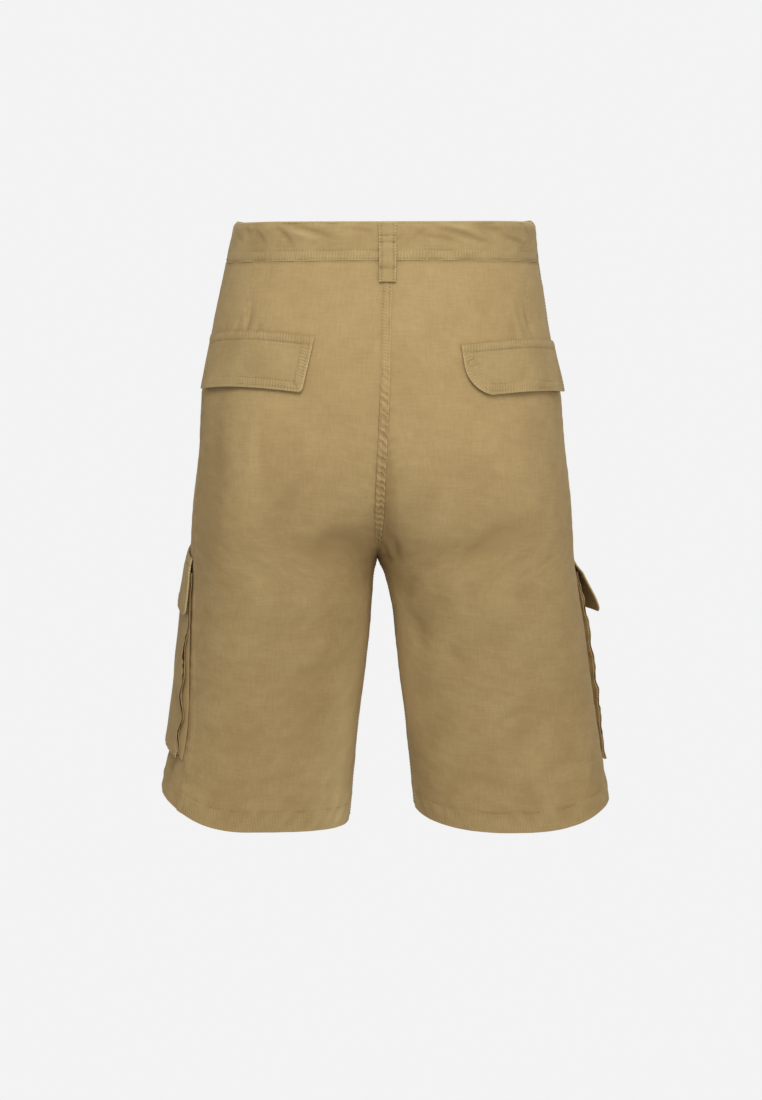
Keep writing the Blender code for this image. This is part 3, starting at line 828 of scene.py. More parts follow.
def make_mesh(
    name: str, verts: Array, faces: Array, uv: Array, tone: Array, material: Material
) -> Piece:
    """Makes a piece of a mesh, facing outwards.

    Args:
        name: the piece's name.
        verts: its points.
        faces: its four-sided faces.
        uv: the cloth coordinates of each point, in metres.
        tone: each point's tone, about 0.5: its wear and random variation, with painted light and shade.
        material: its material.

    Returns:
        The piece.
    """
    a, b, c, d = (verts[faces[:, k]] for k in range(4))
    volume = np.einsum("ij,ij->i", a, np.cross(b, c)).sum() + np.einsum("ij,ij->i", a, np.cross(c, d)).sum()
    if volume < 0:
        faces = faces[:, ::-1]
    mesh = bpy.data.meshes.new(name)
    mesh.vertices.add(len(verts))
    mesh.vertices.foreach_set("co", verts.astype(np.float32).ravel())
    mesh.loops.add(faces.size)
    mesh.loops.foreach_set("vertex_index", faces.astype(np.int32).ravel())
    mesh.polygons.add(len(faces))
    mesh.polygons.foreach_set("loop_start", np.arange(0, faces.size, 4, dtype=np.int32))
    mesh.update(calc_edges=True)
    layer = mesh.uv_layers.new(name="UVMap")
    layer.data.foreach_set("uv", uv[faces.ravel()].astype(np.float32).ravel())
    # This mark carries each point's tone: random variation and wear, with painted shade in creases and seams
    # and painted light.
    wear_and_painted_light = mesh.attributes.new("wear_and_painted_light", "FLOAT", "POINT")
    wear_and_painted_light.data.foreach_set("value", tone.astype(np.float32))
    mesh.shade_smooth()
    mesh.materials.append(material)
    obj = bpy.data.objects.new(name, mesh)
    bpy.context.scene.collection.objects.link(obj)
    return obj


def make_wall(
    name: str, outer: Array, inner: Array, uv: Array, tone: Array, material: Material
) -> Piece:
    """Makes a closed thin wall between two grids of points.

    Args:
        name: the piece's name.
        outer: the outer face's points, rows of columns.
        inner: the inner face's points.
        uv: the cloth coordinates of each, in metres.
        tone: the outer face's tone, with its wear and painted light and shade.
        material: the cloth.

    Returns:
        The piece.
    """
    rows, columns = outer.shape[:2]
    count = rows * columns
    index = np.arange(count).reshape(rows, columns)
    quads = np.stack([index[:-1, :-1], index[:-1, 1:], index[1:, 1:], index[1:, :-1]], axis=-1).reshape(-1, 4)
    rim = np.concatenate([index[0, :-1], index[:-1, -1], index[-1, :0:-1], index[:0:-1, 0]])
    after = np.roll(rim, -1)
    band = np.stack([after, rim, rim + count, after + count], axis=-1)
    faces = np.concatenate([quads, quads[:, ::-1] + count, band])
    verts = np.concatenate([outer.reshape(-1, 3), inner.reshape(-1, 3)])
    both_uv = np.tile(uv.reshape(-1, 2), (2, 1))
    both_tone = np.concatenate([tone.ravel(), np.full(count, 0.42)])
    return make_mesh(name, verts, faces, both_uv, both_tone, material)


def mark_seams(obj: Piece, pull: Array, along: Array) -> None:
    """Marks both faces of a wall with how strongly stitches pull it, and the distance along them."""
    for label, values in (("pull", pull), ("along", along)):
        layer = obj.data.attributes.new(label, "FLOAT", "POINT")
        layer.data.foreach_set("value", np.tile(values.ravel(), 2).astype(np.float32))


def mount(obj: Piece, slot: Slot, *nodes: str) -> Piece:
    """Puts a finished piece on the model.

    Args:
        obj: the piece.
        slot: its material slot; not used.
        nodes: the CAD nodes that it stands for.

    Returns:
        The piece.
    """
    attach(obj, "root")
    if nodes:
        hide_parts(*nodes)
    log.info("%s: %d faces", obj.name, len(obj.data.polygons))
    return obj


class Graph:
    """Makes and joins the nodes of a material or a group."""

    def __init__(self, tree: Tree) -> None:
        """Works in that tree."""
        self.tree = tree

    def node(self, kind: str, **settings: object) -> bpy.types.Node:
        """A new node with those settings."""
        node = self.tree.nodes.new(kind)
        for key, value in settings.items():
            setattr(node, key, value)
        return node

    def feed(self, socket: Socket, value: object) -> None:
        """Joins a socket to another, or sets its value."""
        if isinstance(value, Socket):
            self.tree.links.new(value, socket)
        else:
            socket.default_value = value

    def dress(self, node: bpy.types.Node, **values: object) -> None:
        """Feeds a node's inputs by name, with _ for a space."""
        for name, value in values.items():
            self.feed(node.inputs[name.replace("_", " ")], value)

    def attribute(self, name: str) -> Socket:
        """One of the cloth's own marks."""
        return self.node("ShaderNodeAttribute", attribute_name=name).outputs["Fac"]

    def between(self, tone: object, deep: Colour, pale: Colour) -> Socket:
        """A colour from deep to pale."""
        return self.blend(tone, (*deep, 1.0), (*pale, 1.0))

    def math(self, operation: str, *values: object) -> Socket:
        """The result of a sum on numbers."""
        node = self.node("ShaderNodeMath", operation=operation)
        for socket, value in zip(node.inputs, values):
            self.feed(socket, value)
        return node.outputs[0]

    def total(self, *values: object) -> Socket:
        """The sum of several numbers."""
        result = values[0]
        for value in values[1:]:
            result = self.math("ADD", result, value)
        return result

    def stretched(self, vector: object, scale: Three) -> Socket:
        """A vector with its three parts scaled."""
        node = self.node("ShaderNodeVectorMath", operation="MULTIPLY")
        self.feed(node.inputs[0], vector)
        node.inputs[1].default_value = scale
        return node.outputs[0]

    def noise(self, vector: object, scale: float, detail: float = 2.0) -> Socket:
        """Soft noise from about -0.5 to 0.5."""
        node = self.node("ShaderNodeTexNoise")
        self.dress(node, Vector=vector, Scale=scale, Detail=detail)
        return self.math("SUBTRACT", node.outputs[0], 0.5)

    def span(self, value: object, low: float, high: float, start: float, end: float) -> Socket:
        """A number moved smoothly from one range to another."""
        node = self.node("ShaderNodeMapRange", interpolation_type="SMOOTHSTEP")
        for socket, number in zip(node.inputs, (value, low, high, start, end)):
            self.feed(socket, number)
        return node.outputs[0]

    def blend(self, factor: object, low: object, high: object) -> Socket:
        """A mix of two colours.

        Args:
            factor: the mix, from 0 to 1.
            low: the colour at 0.
            high: the colour at 1.

        Returns:
            The mixed colour.
        """
        node = self.node("ShaderNodeMix", data_type="RGBA")
        self.feed(node.inputs[0], factor)
        self.feed(node.inputs[6], low)
        self.feed(node.inputs[7], high)
        return node.outputs[2]

    def bump(self, height: object, distance: float, strength: float = 1.0) -> Socket:
        """A normal raised by that height."""
        node = self.node("ShaderNodeBump")
        self.dress(node, Distance=distance, Strength=strength, Height=height)
        return node.outputs[0]


def new_group(name: str, outputs: Sequence[str]) -> tuple[Tree, Graph, Socket, bpy.types.Node]:
    """An empty group of nodes that takes the cloth's place in millimetres.

    Args:
        name: its name.
        outputs: the names of its outputs, all numbers.

    Returns:
        The tree, its graph, the socket that gives the place, and its output node.
    """
    tree = bpy.data.node_groups.new(name, "ShaderNodeTree")
    tree.interface.new_socket(name="Cloth", in_out="INPUT", socket_type="NodeSocketVector")
    for label in outputs:
        tree.interface.new_socket(name=label, in_out="OUTPUT", socket_type="NodeSocketFloat")
    graph = Graph(tree)
    return tree, graph, graph.node("NodeGroupInput").outputs[0], graph.node("NodeGroupOutput")


def new_material(name: str) -> tuple[Material, Graph, bpy.types.Node]:
    """A new material, its graph and its main shader."""
    material = bpy.data.materials.new(name)
    material.use_nodes = True
    return material, Graph(material.node_tree), material.node_tree.nodes["Principled BSDF"]


@dataclass(frozen=True)
class RipstopWeave:
    """The weave: fine plain weave, heavier threads in a grid, and slubs. Sizes are in millimetres."""

    warp_pitch: float = 7.7
    weft_pitch: float = 6.3
    tick: float = 3.1
    rib: float = 0.42
    thread: float = 0.62
    faintest: float = 0.15
    boldest: float = 1.75
    drift: tuple[float, float] = (1.6, 1.2)
    grid_patches: tuple[Three, Three] = ((0.19, 0.07, 0.0), (0.06, 0.17, 0.0))
    tick_patches: tuple[Three, Three] = ((0.10, 0.06, 0.7), (0.06, 0.10, 0.3))
    slub_sizes: tuple[Three, Three] = ((0.085, 0.46, 0.0), (0.46, 0.075, 0.0))
    mottle_size: Three = (0.030, 0.026, 0.0)

    def group(self) -> Tree:
        """Builds the group: cloth millimetres in, and a height, a grid mask, a tone and a mottle out.

        Returns:
            The node group.
        """
        tree, graph, cloth, result = new_group("ripstop weave", ("Height", "Grid", "Slubs", "Mottle"))
        parts = graph.node("ShaderNodeSeparateXYZ")
        graph.feed(parts.inputs[0], cloth)
        drift = graph.noise(graph.stretched(cloth, (0.02, 0.02, 0.0)), 1.0)
        places = [graph.math("MULTIPLY_ADD", drift, by, parts.outputs[k]) for k, by in enumerate(self.drift)]
        heavy = []
        for place, pitch, patch in zip(places, (self.warp_pitch, self.weft_pitch), self.grid_patches):
            line = graph.span(graph.math("PINGPONG", place, pitch / 2), 0.0, self.rib, 1.0, 0.0)
            spot = graph.noise(graph.stretched(cloth, patch), 1.0)
            strength = graph.span(spot, 0.40, 0.62, self.faintest, self.boldest)
            heavy.append(graph.math("MULTIPLY", line, strength))
        for place, patch in zip(places, self.tick_patches):
            line = graph.span(graph.math("PINGPONG", place, self.tick / 2), 0.0, 0.5, 1.0, 0.0)
            spot = graph.noise(graph.stretched(cloth, patch), 1.0)
            heavy.append(graph.math("MULTIPLY", line, graph.span(spot, 0.52, 0.66, 0.0, 1.3)))
        grid = graph.math("MAXIMUM", graph.math("MAXIMUM", *heavy[:2]), graph.math("MAXIMUM", *heavy[2:]))
        turn = 2 * math.pi / self.thread
        waves = [graph.math("SINE", graph.math("MULTIPLY", place, turn)) for place in places]
        weave = graph.math("MULTIPLY", *waves)
        weft, warp = (graph.noise(graph.stretched(cloth, size), 1.0, 4.0) for size in self.slub_sizes)
        slubs = graph.math("MULTIPLY_ADD", weft, 0.5, graph.math("MULTIPLY", warp, 0.5))
        mottle = graph.noise(graph.stretched(cloth, self.mottle_size), 1.0, 4.0)
        parts = ((grid, 0.08), (weave, 0.022), (slubs, 0.10))
        height = graph.total(*(graph.math("MULTIPLY", part, share) for part, share in parts))
        for socket, value in zip(result.inputs, (height, grid, slubs, mottle)):
            graph.feed(socket, value)
        return tree


@dataclass(frozen=True)
class PulledSeam:
    """The node group of the short ridges that a row of stitches pulls between itself and an edge."""

    pitch: float = 0.0029
    unevenness: float = 5.5

    def group(self) -> Tree:
        """Builds the group, which reads the cloth's own marks and gives a height and a mask.

        Returns:
            The node group.
        """
        tree, graph, cloth, result = new_group("pulled seam", ("Height", "Mask"))
        along, pull = graph.attribute("along"), graph.attribute("pull")
        uneven = graph.noise(graph.stretched(cloth, (0.16, 0.16, 0.0)), 1.0)
        shift = graph.math("MULTIPLY", uneven, self.unevenness)
        phase = graph.math("MULTIPLY_ADD", along, 2 * math.pi / self.pitch, shift)
        strength = graph.math("MULTIPLY", pull, graph.math("MULTIPLY_ADD", uneven, 1.5, 0.9))
        height = graph.math("MULTIPLY", strength, graph.math("SINE", phase))
        graph.feed(result.inputs[0], height)
        graph.feed(result.inputs[1], pull)
        return tree


@dataclass(frozen=True)
class KhakiCloth:
    """Washed khaki ripstop cotton: matt, a little sheen, paler where rubbed, with painted shade in its
    troughs and painted highlights on its ridges.
    """

    name: str
    deep: Colour
    pale: Colour
    weave: Tree
    seam: Tree
    roughness: float = 0.82
    sheen: float = 0.05
    evenness: float = -0.25

    def material(self) -> Material:
        """Builds the material, which follows each piece's own cloth coordinates.

        Returns:
            The material.
        """
        material, graph, shader = new_material(self.name)
        uv = graph.node("ShaderNodeUVMap", uv_map="UVMap").outputs[0]
        cloth = graph.stretched(uv, (1000.0, 1000.0, 0.0))
        weave = graph.node("ShaderNodeGroup", node_tree=self.weave)
        seam = graph.node("ShaderNodeGroup", node_tree=self.seam)
        graph.feed(weave.inputs[0], cloth)
        graph.feed(seam.inputs[0], cloth)
        height, grid, slubs, mottle = weave.outputs
        # The pulled seam's height goes into the tone too: painted shade in the pucker troughs and painted
        # highlights on their ridges.
        parts = ((slubs, 0.58), (mottle, 0.34), (grid, -0.15), (seam.outputs[0], 0.15))
        tones = [graph.math("MULTIPLY", part, share) for part, share in parts]
        tone = graph.total(*tones, graph.attribute("wear_and_painted_light"), self.evenness)
        relief = graph.math("MULTIPLY_ADD", seam.outputs[0], 0.16, height)
        graph.dress(
            shader,
            Base_Color=graph.between(tone, self.deep, self.pale),
            Roughness=graph.math("MULTIPLY_ADD", slubs, 0.2, self.roughness),
            Normal=graph.bump(relief, 0.001, 0.9),
            Specular_IOR_Level=0.22,
            Sheen_Weight=self.sheen,
            Sheen_Roughness=0.45,
            Sheen_Tint=(0.93, 0.85, 0.68, 1.0),
        )
        return material


@dataclass(frozen=True)
class SewingThread:
    """Twisted polyester thread: fine diagonal plies."""

    name: str
    deep: Colour
    pale: Colour

    def material(self) -> Material:
        """Builds the material.

        Returns:
            The material.
        """
        material, graph, shader = new_material(self.name)
        place = graph.node("ShaderNodeTexCoord").outputs["Object"]
        plies = graph.node("ShaderNodeTexWave", wave_type="BANDS", bands_direction="DIAGONAL")
        graph.dress(plies, Vector=place, Scale=900.0, Distortion=1.5)
        tone = graph.math("MULTIPLY_ADD", plies.outputs["Fac"], 0.3, graph.attribute("wear_and_painted_light"))
        graph.dress(
            shader,
            Base_Color=graph.between(tone, self.deep, self.pale),
            Normal=graph.bump(plies.outputs["Fac"], 0.0001, 0.6),
            Roughness=0.55,
            Specular_IOR_Level=0.35,
        )
        return material


@dataclass(frozen=True)
class Resin:
    """Moulded resin with soft streaks, such as a button's."""

    name: str
    deep: Colour
    pale: Colour
    streak: float = 260.0
    roughness: float = 0.30

    def material(self) -> Material:
        """Builds the material.

        Returns:
            The material.
        """
        material, graph, shader = new_material(self.name)
        place = graph.node("ShaderNodeTexCoord").outputs["Object"]
        streaks = graph.noise(graph.stretched(place, (1.0, 1.0, 3.5)), self.streak, 3.0)
        scuffs = graph.noise(place, self.streak * 6, 2.0)
        tone = graph.math("MULTIPLY_ADD", streaks, 1.6, 0.5)
        graph.dress(
            shader,
            Base_Color=graph.between(tone, self.deep, self.pale),
            Roughness=graph.math("MULTIPLY_ADD", scuffs, 0.22, self.roughness),
            Normal=graph.bump(scuffs, 0.00006, 0.5),
            Coat_Weight=0.2,
        )
        return material


class Sewing(NamedTuple):
    """What the pieces share: the finishes and the thread that they add stitches to."""

    cloth: Material
    trim: Material
    thread: Thread
    tack: Thread


def lay(
    name: str,
    place: Place,
    down: Array,
    across: Array,
    under: Array,
    thickness: Array,
    edge: Array,
    relief: Array,
    uv: Array,
    tone: Array,
    pull: Array,
    along: Array,
    material: Material,
) -> Piece:
    """tone: its tone, with its wear and painted light and shade.
        down: the grid's levels.
        across: its distances across.
        under: how far off its underside is.
        thickness: how thick it is.
        edge: how far each point is from the nearest free edge.
        relief: how far sewing lifts or sinks it.
        uv: the cloth coordinates.
        tone: how worn it is.
        pull: how strongly stitches pull it.
        along: the distance along those stitches.
        material: the cloth.

    Returns:
        The piece.
    """
    half = thickness / 2 * rounded(edge, float(np.mean(thickness)))
    middle = under + thickness / 2
    outer = place(down, across, middle + half + relief)
    inner = place(down, across, middle - half + relief * 0.6)
    # Edges paler from rubbing; the relief term paints shade into the troughs and a highlight onto the ridges.
    tone += 0.30 * near(edge, 0.0007) + np.clip(relief * 90, -0.10, 0.10)
    obj = make_wall(name, outer, inner, uv, tone, material)
    mark_seams(obj, pull, along)
    return obj


def distance_to(across: Array, down: Array, outline: Array) -> tuple[Array, Array]:
    """How far points are from a line.

    Args:
        across: the points' distances across.
        down: their distances down.
        outline: the line's points, across and down.

    Returns:
        The distance to the nearest place on the line, and how far along the line that place is.
    """
    points = np.stack([across.ravel(), down.ravel()], axis=1)
    best, along = np.full(len(points), 1e9), np.zeros(len(points))
    passed = 0.0
    for start, end in zip(outline[:-1], outline[1:]):
        run = end - start
        length = max(float(np.linalg.norm(run)), 1e-9)
        t = np.clip((points - start) @ run / length**2, 0.0, 1.0)
        distance = np.linalg.norm(points - start - t[:, None] * run, axis=1)
        along = np.where(distance < best, passed + t * length, along)
        best = np.minimum(best, distance)
        passed += length
    return best.reshape(across.shape), along.reshape(across.shape)


@dataclass
class Panel:
    """A front or a back: all the cloth of a half from its middle seam to its side seam, waist to hem."""

    side: Side
    cut: Cut
    row_step: float = 0.0020
    column_step: float = 0.0034
    hem_cloth: float = 0.0022
    hem_stitch: float = 0.0200
    seam_half: float = 0.0044
    seam_rise: float = 0.0011
    seam_rows: tuple[float, float] = (0.0031, -0.0027)
    ladder: float = 0.43

    def __post_init__(self) -> None:
        """Works out the panel's grid."""
        self.half = HALVES[self.side]
        self.place = from_middle(self.side, self.cut)
        self.laps = self.side is L
        self.at_back = self.cut is Cut.BACK
        top = BAND_HEIGHT + SEAM_GAP
        downs = top + marks(HEM_DOWN - top, self.row_step, (HEM_DOWN - top - self.hem_stitch,))
        width = 0.21 if self.at_back else 0.24
        lines = (0.0031, 0.0072, width - 0.0055)
        if self.at_back:
            dart = width * DARTS[self.side].foot / float(self.far_edge(np.array([DARTS[self.side].down]))[0])
            lines += (dart - 0.0015, dart + 0.0015)
        elif self.laps:
            lines += FLY_ROWS
        shares = marks(width, self.column_step * (0.68 if self.at_back else 1.0), lines) / width
        self.down = np.repeat(downs[:, None], len(shares), axis=1)
        start, end = self.near_edge(downs), self.far_edge(downs)
        self.away = start[:, None] + (end - start)[:, None] * shares
        self.far = end[:, None] - self.away
        self.near = self.away - start[:, None]

    def far_edge(self, down: Array) -> Array:
        """How far from the middle seam the side seam is."""
        seam = self.half.side_seam(down)
        return (seam if self.at_back else self.half.length(down) - seam) - SEAM_GAP / 2

    def near_edge(self, down: Array) -> Array:
        """Where the panel's inner edge is: the left laps over the right, down to the fork or the fly's end.

        Args:
            down: the levels, below the waistband's top edge.

        Returns:
            The edge at each level.
        """
        gap = np.where(down >= FORK_DOWN, SEAM_GAP / 2, 0.0)
        if not self.laps:
            return gap
        lap = self.seam_half * eased((FORK_DOWN - 0.004 - down) / 0.030)
        if not self.at_back:
            lap = np.maximum(lap, FLY_LAP * np.clip((FLY_BOTTOM - down) / FLY_ROUND, 0.0, 1.0))
        return np.where(down < FORK_DOWN, -lap, gap)

    def stand(self) -> Array:
        """How far the panel's face stands off: where it laps over the other side.

        Returns:
            How far out each point of the underside is.
        """
        if not self.laps:
            return np.zeros(self.down.shape)
        band = eased((self.seam_half + 0.0006 - self.away) / 0.0012)
        rise = self.seam_rise * band * eased((FORK_DOWN + 0.004 - self.down) / 0.030)
        if self.at_back:
            return rise
        foot = 1 - eased((self.down - FLY_BOTTOM) / FLY_FOOT)
        return np.maximum(rise, FLY_FACE * foot * eased(1 - self.away / FLY_EASE))

    def relief(self) -> Array:
        """What sewing does to the panel's surface.

        Returns:
            The height at each point.
        """
        down, away = self.down, self.away
        seed = 11 if self.side is L else 12
        height = puckers(self.far - 0.004, down, seed + 4, 0.00030, 0.009, 0.019)
        height += groove(self.far - 0.0055, down, seed + 9)
        ridge = 0.0007 * eased((0.0068 - self.far) / 0.0012) * self.at_back
        height += ridge
        leg = eased((down - FORK_DOWN) / 0.006)
        height += leg * (0.0006 * eased((0.0085 - away) / 0.0014) + groove(away - 0.0072, down, seed))
        height += 0.00020 * Ripple(seed + 30, 0.020)(down * 1.5, away)
        height += 0.00038 * Ripple(seed + 31, 0.046)(down + 0.4 * away, away) * (0.4 + 0.6 * leg)
        hem = HEM_DOWN - down
        height += 0.00034 * Ripple(seed + 32, 0.026)(down * 1.5, away) * near(hem - 0.02, 0.050)
        height += groove(hem - self.hem_stitch, away, seed + 2)
        height += puckers(hem - 0.012, away + 0.35 * hem, seed + 3, 0.00055, 0.011, 0.0175)
        if self.at_back:
            height += self.seat_seam() + self.dart(seed)
        else:
            height += self.fly(seed)
        return height

    def seat_seam(self) -> Array:
        """The ropey gathers and the rows of stitches of the seat seam.

        Returns:
            The height at each point.
        """
        down, away = self.down, self.away
        tight = 0.35 + 0.65 * eased((down - 0.13) / 0.05) * eased((FORK_DOWN - down) / 0.03)
        height = tight * puckers(away, down + 0.45 * away, 31, 0.00062, 0.0056, 0.0071)
        height += tight * puckers(away, down + 0.3 * away, 35, 0.00034, 0.013, 0.0142)
        above = eased((FORK_DOWN - 0.004 - down) / 0.012)
        for row in self.seam_rows:
            if self.laps:
                height += above * groove(away - row, down, 33, 0.00030)
        return height

    def dart(self, seed: int) -> Array:
        """A back dart: a shallow sewn crease from the band to the flap, with a ridge beside it and puckers.

        Args:
            seed: the seed of its unevenness.

        Returns:
            The height at each point.
        """
        down, away = self.down, self.away
        dart = DARTS[self.side]
        t = (down - BAND_HEIGHT) / (dart.down - BAND_HEIGHT)
        across = away - dart.top - (dart.foot - dart.top) * t
        fade = eased((dart.down + 0.012 - down) / 0.020)
        broken = 0.55 + 0.45 * Ripple(seed + 23, 0.012)(down)
        crease = -0.00036 * broken * near(across, 0.0011) + 0.00018 * broken * near(across - 0.0030, 0.0022)
        crease = crease - 0.0007 * near(across + 0.0060, 0.0050) * near(down - dart.down + 0.012, 0.020)
        gathers = puckers(across, down + 0.3 * away, seed + 21, 0.00045, 0.0050, 0.0056)
        return fade * (crease + gathers)

    def fly(self, seed: int) -> Array:
        """The fly's curved row of stitches on the left, and the front seam's edge.

        Args:
            seed: the seed of its unevenness.

        Returns:
            The height at each point.
        """
        if not self.laps:
            return np.zeros(self.down.shape)
        rows = sum(groove(self.from_fly_row(out), self.down, seed + 5, 0.00035) for out in FLY_ROWS)
        between = 0.00045 * near(self.from_fly_row(sum(FLY_ROWS) / 2), 0.0024)
        lower = groove(self.away - 0.0031, self.down, seed + 6) * eased((self.down - FLY_BOTTOM) / 0.01)
        return rows + between + lower

    def from_fly_row(self, out: float) -> Array:
        """How far each point is from a row of the fly's stitches."""
        return distance_to(self.away, self.down, self.fly_row(out))[0]

    def fly_row(self, out: float) -> Array:
        """The fly's row of stitches: straight down, then round to the front seam.

        Args:
            out: how far the row runs from the fly's edge.

        Returns:
            The row's path, as levels and distances from the seam.
        """
        straight = [(out, BAND_HEIGHT + 0.002), (out, FLY_BOTTOM - 0.030)]
        turn = [
            (out * math.cos(a), FLY_BOTTOM - 0.030 + 0.028 * math.sin(a))
            for a in np.linspace(0.1, math.pi / 2, 12)
        ]
        return np.array(straight + turn)

    def tone(self) -> Array:
        """The cloth's tone: random variation, with painted shade in creases, at seams, under the band and
        lower down, and painted light on the inner legs.

        Returns:
            The shade at each point.
        """
        down, away = self.down, self.away
        seed = 51 if self.side is L else 52
        ahead = away - self.far_edge(down) if self.at_back else self.far_edge(down) - away
        folds = crease_height(ahead, down, CREASES[self.side])
        # Painted shade in the creases' troughs and a painted highlight on their ridges, with random
        # variation.
        tone = 0.5 + np.clip(folds * 48, -0.20, 0.10) + 0.035 * Ripple(seed, 0.11)(down, away)
        # Painted shade: darker further down the panel and on the lower legs, paler again at the hem.
        tone = tone - 0.03 * eased((down - 0.10) / 0.05) - 0.09 * eased((down - 0.16) / 0.22)
        tone = tone - 0.05 * eased((down - 0.46) / 0.06) * (1 - near(HEM_DOWN - down, 0.018))
        leg = eased((down - FORK_DOWN) / 0.030)
        # Painted light on the inner legs, lifting the shade between them.
        if self.side is L:
            tone += leg * (0.36 + 0.26 * eased((down - 0.42) / 0.10)) * near(away - 0.058, 0.030)
        else:
            tone += 0.82 * leg * (1 - eased((down - 0.43) / 0.12)) * near(away - 0.040, 0.036)
        # More painted light on the inner legs, and a painted shadow just under the waistband.
        tone += 0.30 * leg * near(away - 0.012, 0.026) - 0.24 * near(down - BAND_HEIGHT - 0.0006, 0.0015)
        tone = tone - 0.05 * near(self.far, 0.006) - 0.04 * near(HEM_DOWN - down - self.hem_stitch, 0.004)
        tone = tone - 0.05 * near(np.maximum(away, 0) - 0.0052, 0.0016)
        if not self.at_back:
            rows = sum(near(self.from_fly_row(out), 0.0011) for out in FLY_ROWS) if self.laps else 0.0
            return tone - 0.20 * rows
        # Darker along the seat seam, with painted shade in its pucker troughs and painted highlights on their
        # ridges.
        low = eased((down - 0.150) / 0.060) * (down < FORK_DOWN + 0.02)
        tone = tone - 0.15 * low * near(away, 0.0075) + np.clip(190 * self.seat_seam(), -0.24, 0.12) * low
        if self.side is L:
            # Painted shade: a soft dark patch low on the seat and a dark band beside the side seam.
            painted_dent_shade = near(away - 0.046, 0.042) * near(down - 0.318, 0.046)
            return tone - 0.16 * near(self.far - 0.012, 0.022) * near(down - 0.235, 0.085) - 0.12 * painted_dent_shade
        # Painted shade: a dark valley beside the seat seam, widening towards the fork.
        t = eased((down - 0.195) / 0.13)
        valley = near((away - 0.0065 - 0.004 * t) / (0.0045 + 0.010 * t), 1.0)
        return tone - 0.34 * valley * eased((down - 0.190) / 0.05) * (1 - leg)

    def build(self, sewing: Sewing) -> Piece:
        """Makes the panel and adds its stitches.

        Args:
            sewing: the materials and the thread.

        Returns:
            The panel.
        """
        name = f"{self.cut.value}_{self.side.value}_panel"
        hem = eased((self.hem_stitch + 0.0018 - (HEM_DOWN - self.down)) / 0.0016)
        thickness = CLOTH + (self.hem_cloth - CLOTH) * hem
        edge = np.minimum(HEM_DOWN - self.down, np.where(self.away < 0, self.near, 1.0))
        edge = np.minimum(edge, np.where(self.down < 0.05, 1.0, np.minimum(self.near, self.far) + 0.0003))
        seat = eased((0.0052 - np.abs(self.away)) / 0.0016) * (self.down < FORK_DOWN) * self.at_back
        low = 0.5 * eased((0.0205 - (HEM_DOWN - self.down)) / 0.002)
        pull = np.maximum(seat * (0.6 + 1.5 * eased((self.down - 0.12) / 0.07)), low)
        pull = np.maximum(pull, 0.5 * near(self.far - 0.003, 0.003))
        if self.laps and not self.at_back:
            pull = np.maximum(pull, 0.7 * near(self.from_fly_row(sum(FLY_ROWS) / 2), 0.0024))
        ladder = self.down + (self.ladder - 1) * np.maximum(self.down - 0.135, 0.0) + 0.30 * self.away
        along = np.where(low > seat, self.away + 0.3 * self.down, np.where(seat > 0.05, ladder, self.down))
        middle = self.far_edge(self.down) / 2
        uv = np.stack([self.side.sign * (self.away - middle), -self.down], axis=-1)
        under = self.stand() - thickness
        args = (self.down, self.away, under, thickness, edge, self.relief(), uv, self.tone(), pull, along)
        obj = lay(name, self.place, *args, sewing.cloth)
        self.stitch(sewing)
        mount(obj, Slot.CLOTH, f"{self.cut.value}_{self.side.value}")
        area = float(np.mean(self.far_edge(self.down[:, 0]) - self.near_edge(self.down[:, 0]))) * 0.548
        widest = float(np.max(self.far_edge(self.down[:, 0]))) + 0.002
        return obj

    def stitch(self, sewing: Sewing) -> None:
        """Adds the hem's, the side seam's, the inseam's and the middle seam's stitches.

        Args:
            sewing: the materials and the thread.
        """
        thread, place = sewing.thread, self.place
        share = np.linspace(0.001, 0.999, 200)
        level = np.full(200, HEM_DOWN - self.hem_stitch)
        start, end = self.near_edge(level), self.far_edge(level)
        thread.along(place, level, start + (end - start) * share, 0.0)
        if self.at_back:
            down = np.linspace(BAND_HEIGHT + 0.002, HEM_DOWN - 0.002, 300)
            thread.along(place, down, self.far_edge(down) - 0.0055, 0.00070)
            down = np.linspace(FORK_DOWN + 0.004, HEM_DOWN - 0.002, 200)
            thread.along(place, down, np.full(200, 0.0072), 0.0006)
            dart = DARTS[self.side]
            t = np.linspace(0.03, 1.06, 80)
            down = BAND_HEIGHT + (dart.down - BAND_HEIGHT) * t
            thread.along(place, down, dart.top + (dart.foot - dart.top) * t + 0.0016, 0.0001, 0.0036)
        if self.laps and self.at_back:
            down = np.linspace(BAND_HEIGHT + 0.002, FORK_DOWN - 0.016, 300)
            for row in self.seam_rows:
                thread.along(place, down, np.full(300, row), self.seam_rise - 0.0001)
        if self.laps and not self.at_back:
            for out in FLY_ROWS:
                across, down = evenly(self.fly_row(out), 200)
                foot = 1 - eased((down - FLY_BOTTOM) / FLY_FOOT)
                thread.along(place, down, across, FLY_FACE * foot * eased(1 - across / FLY_EASE))


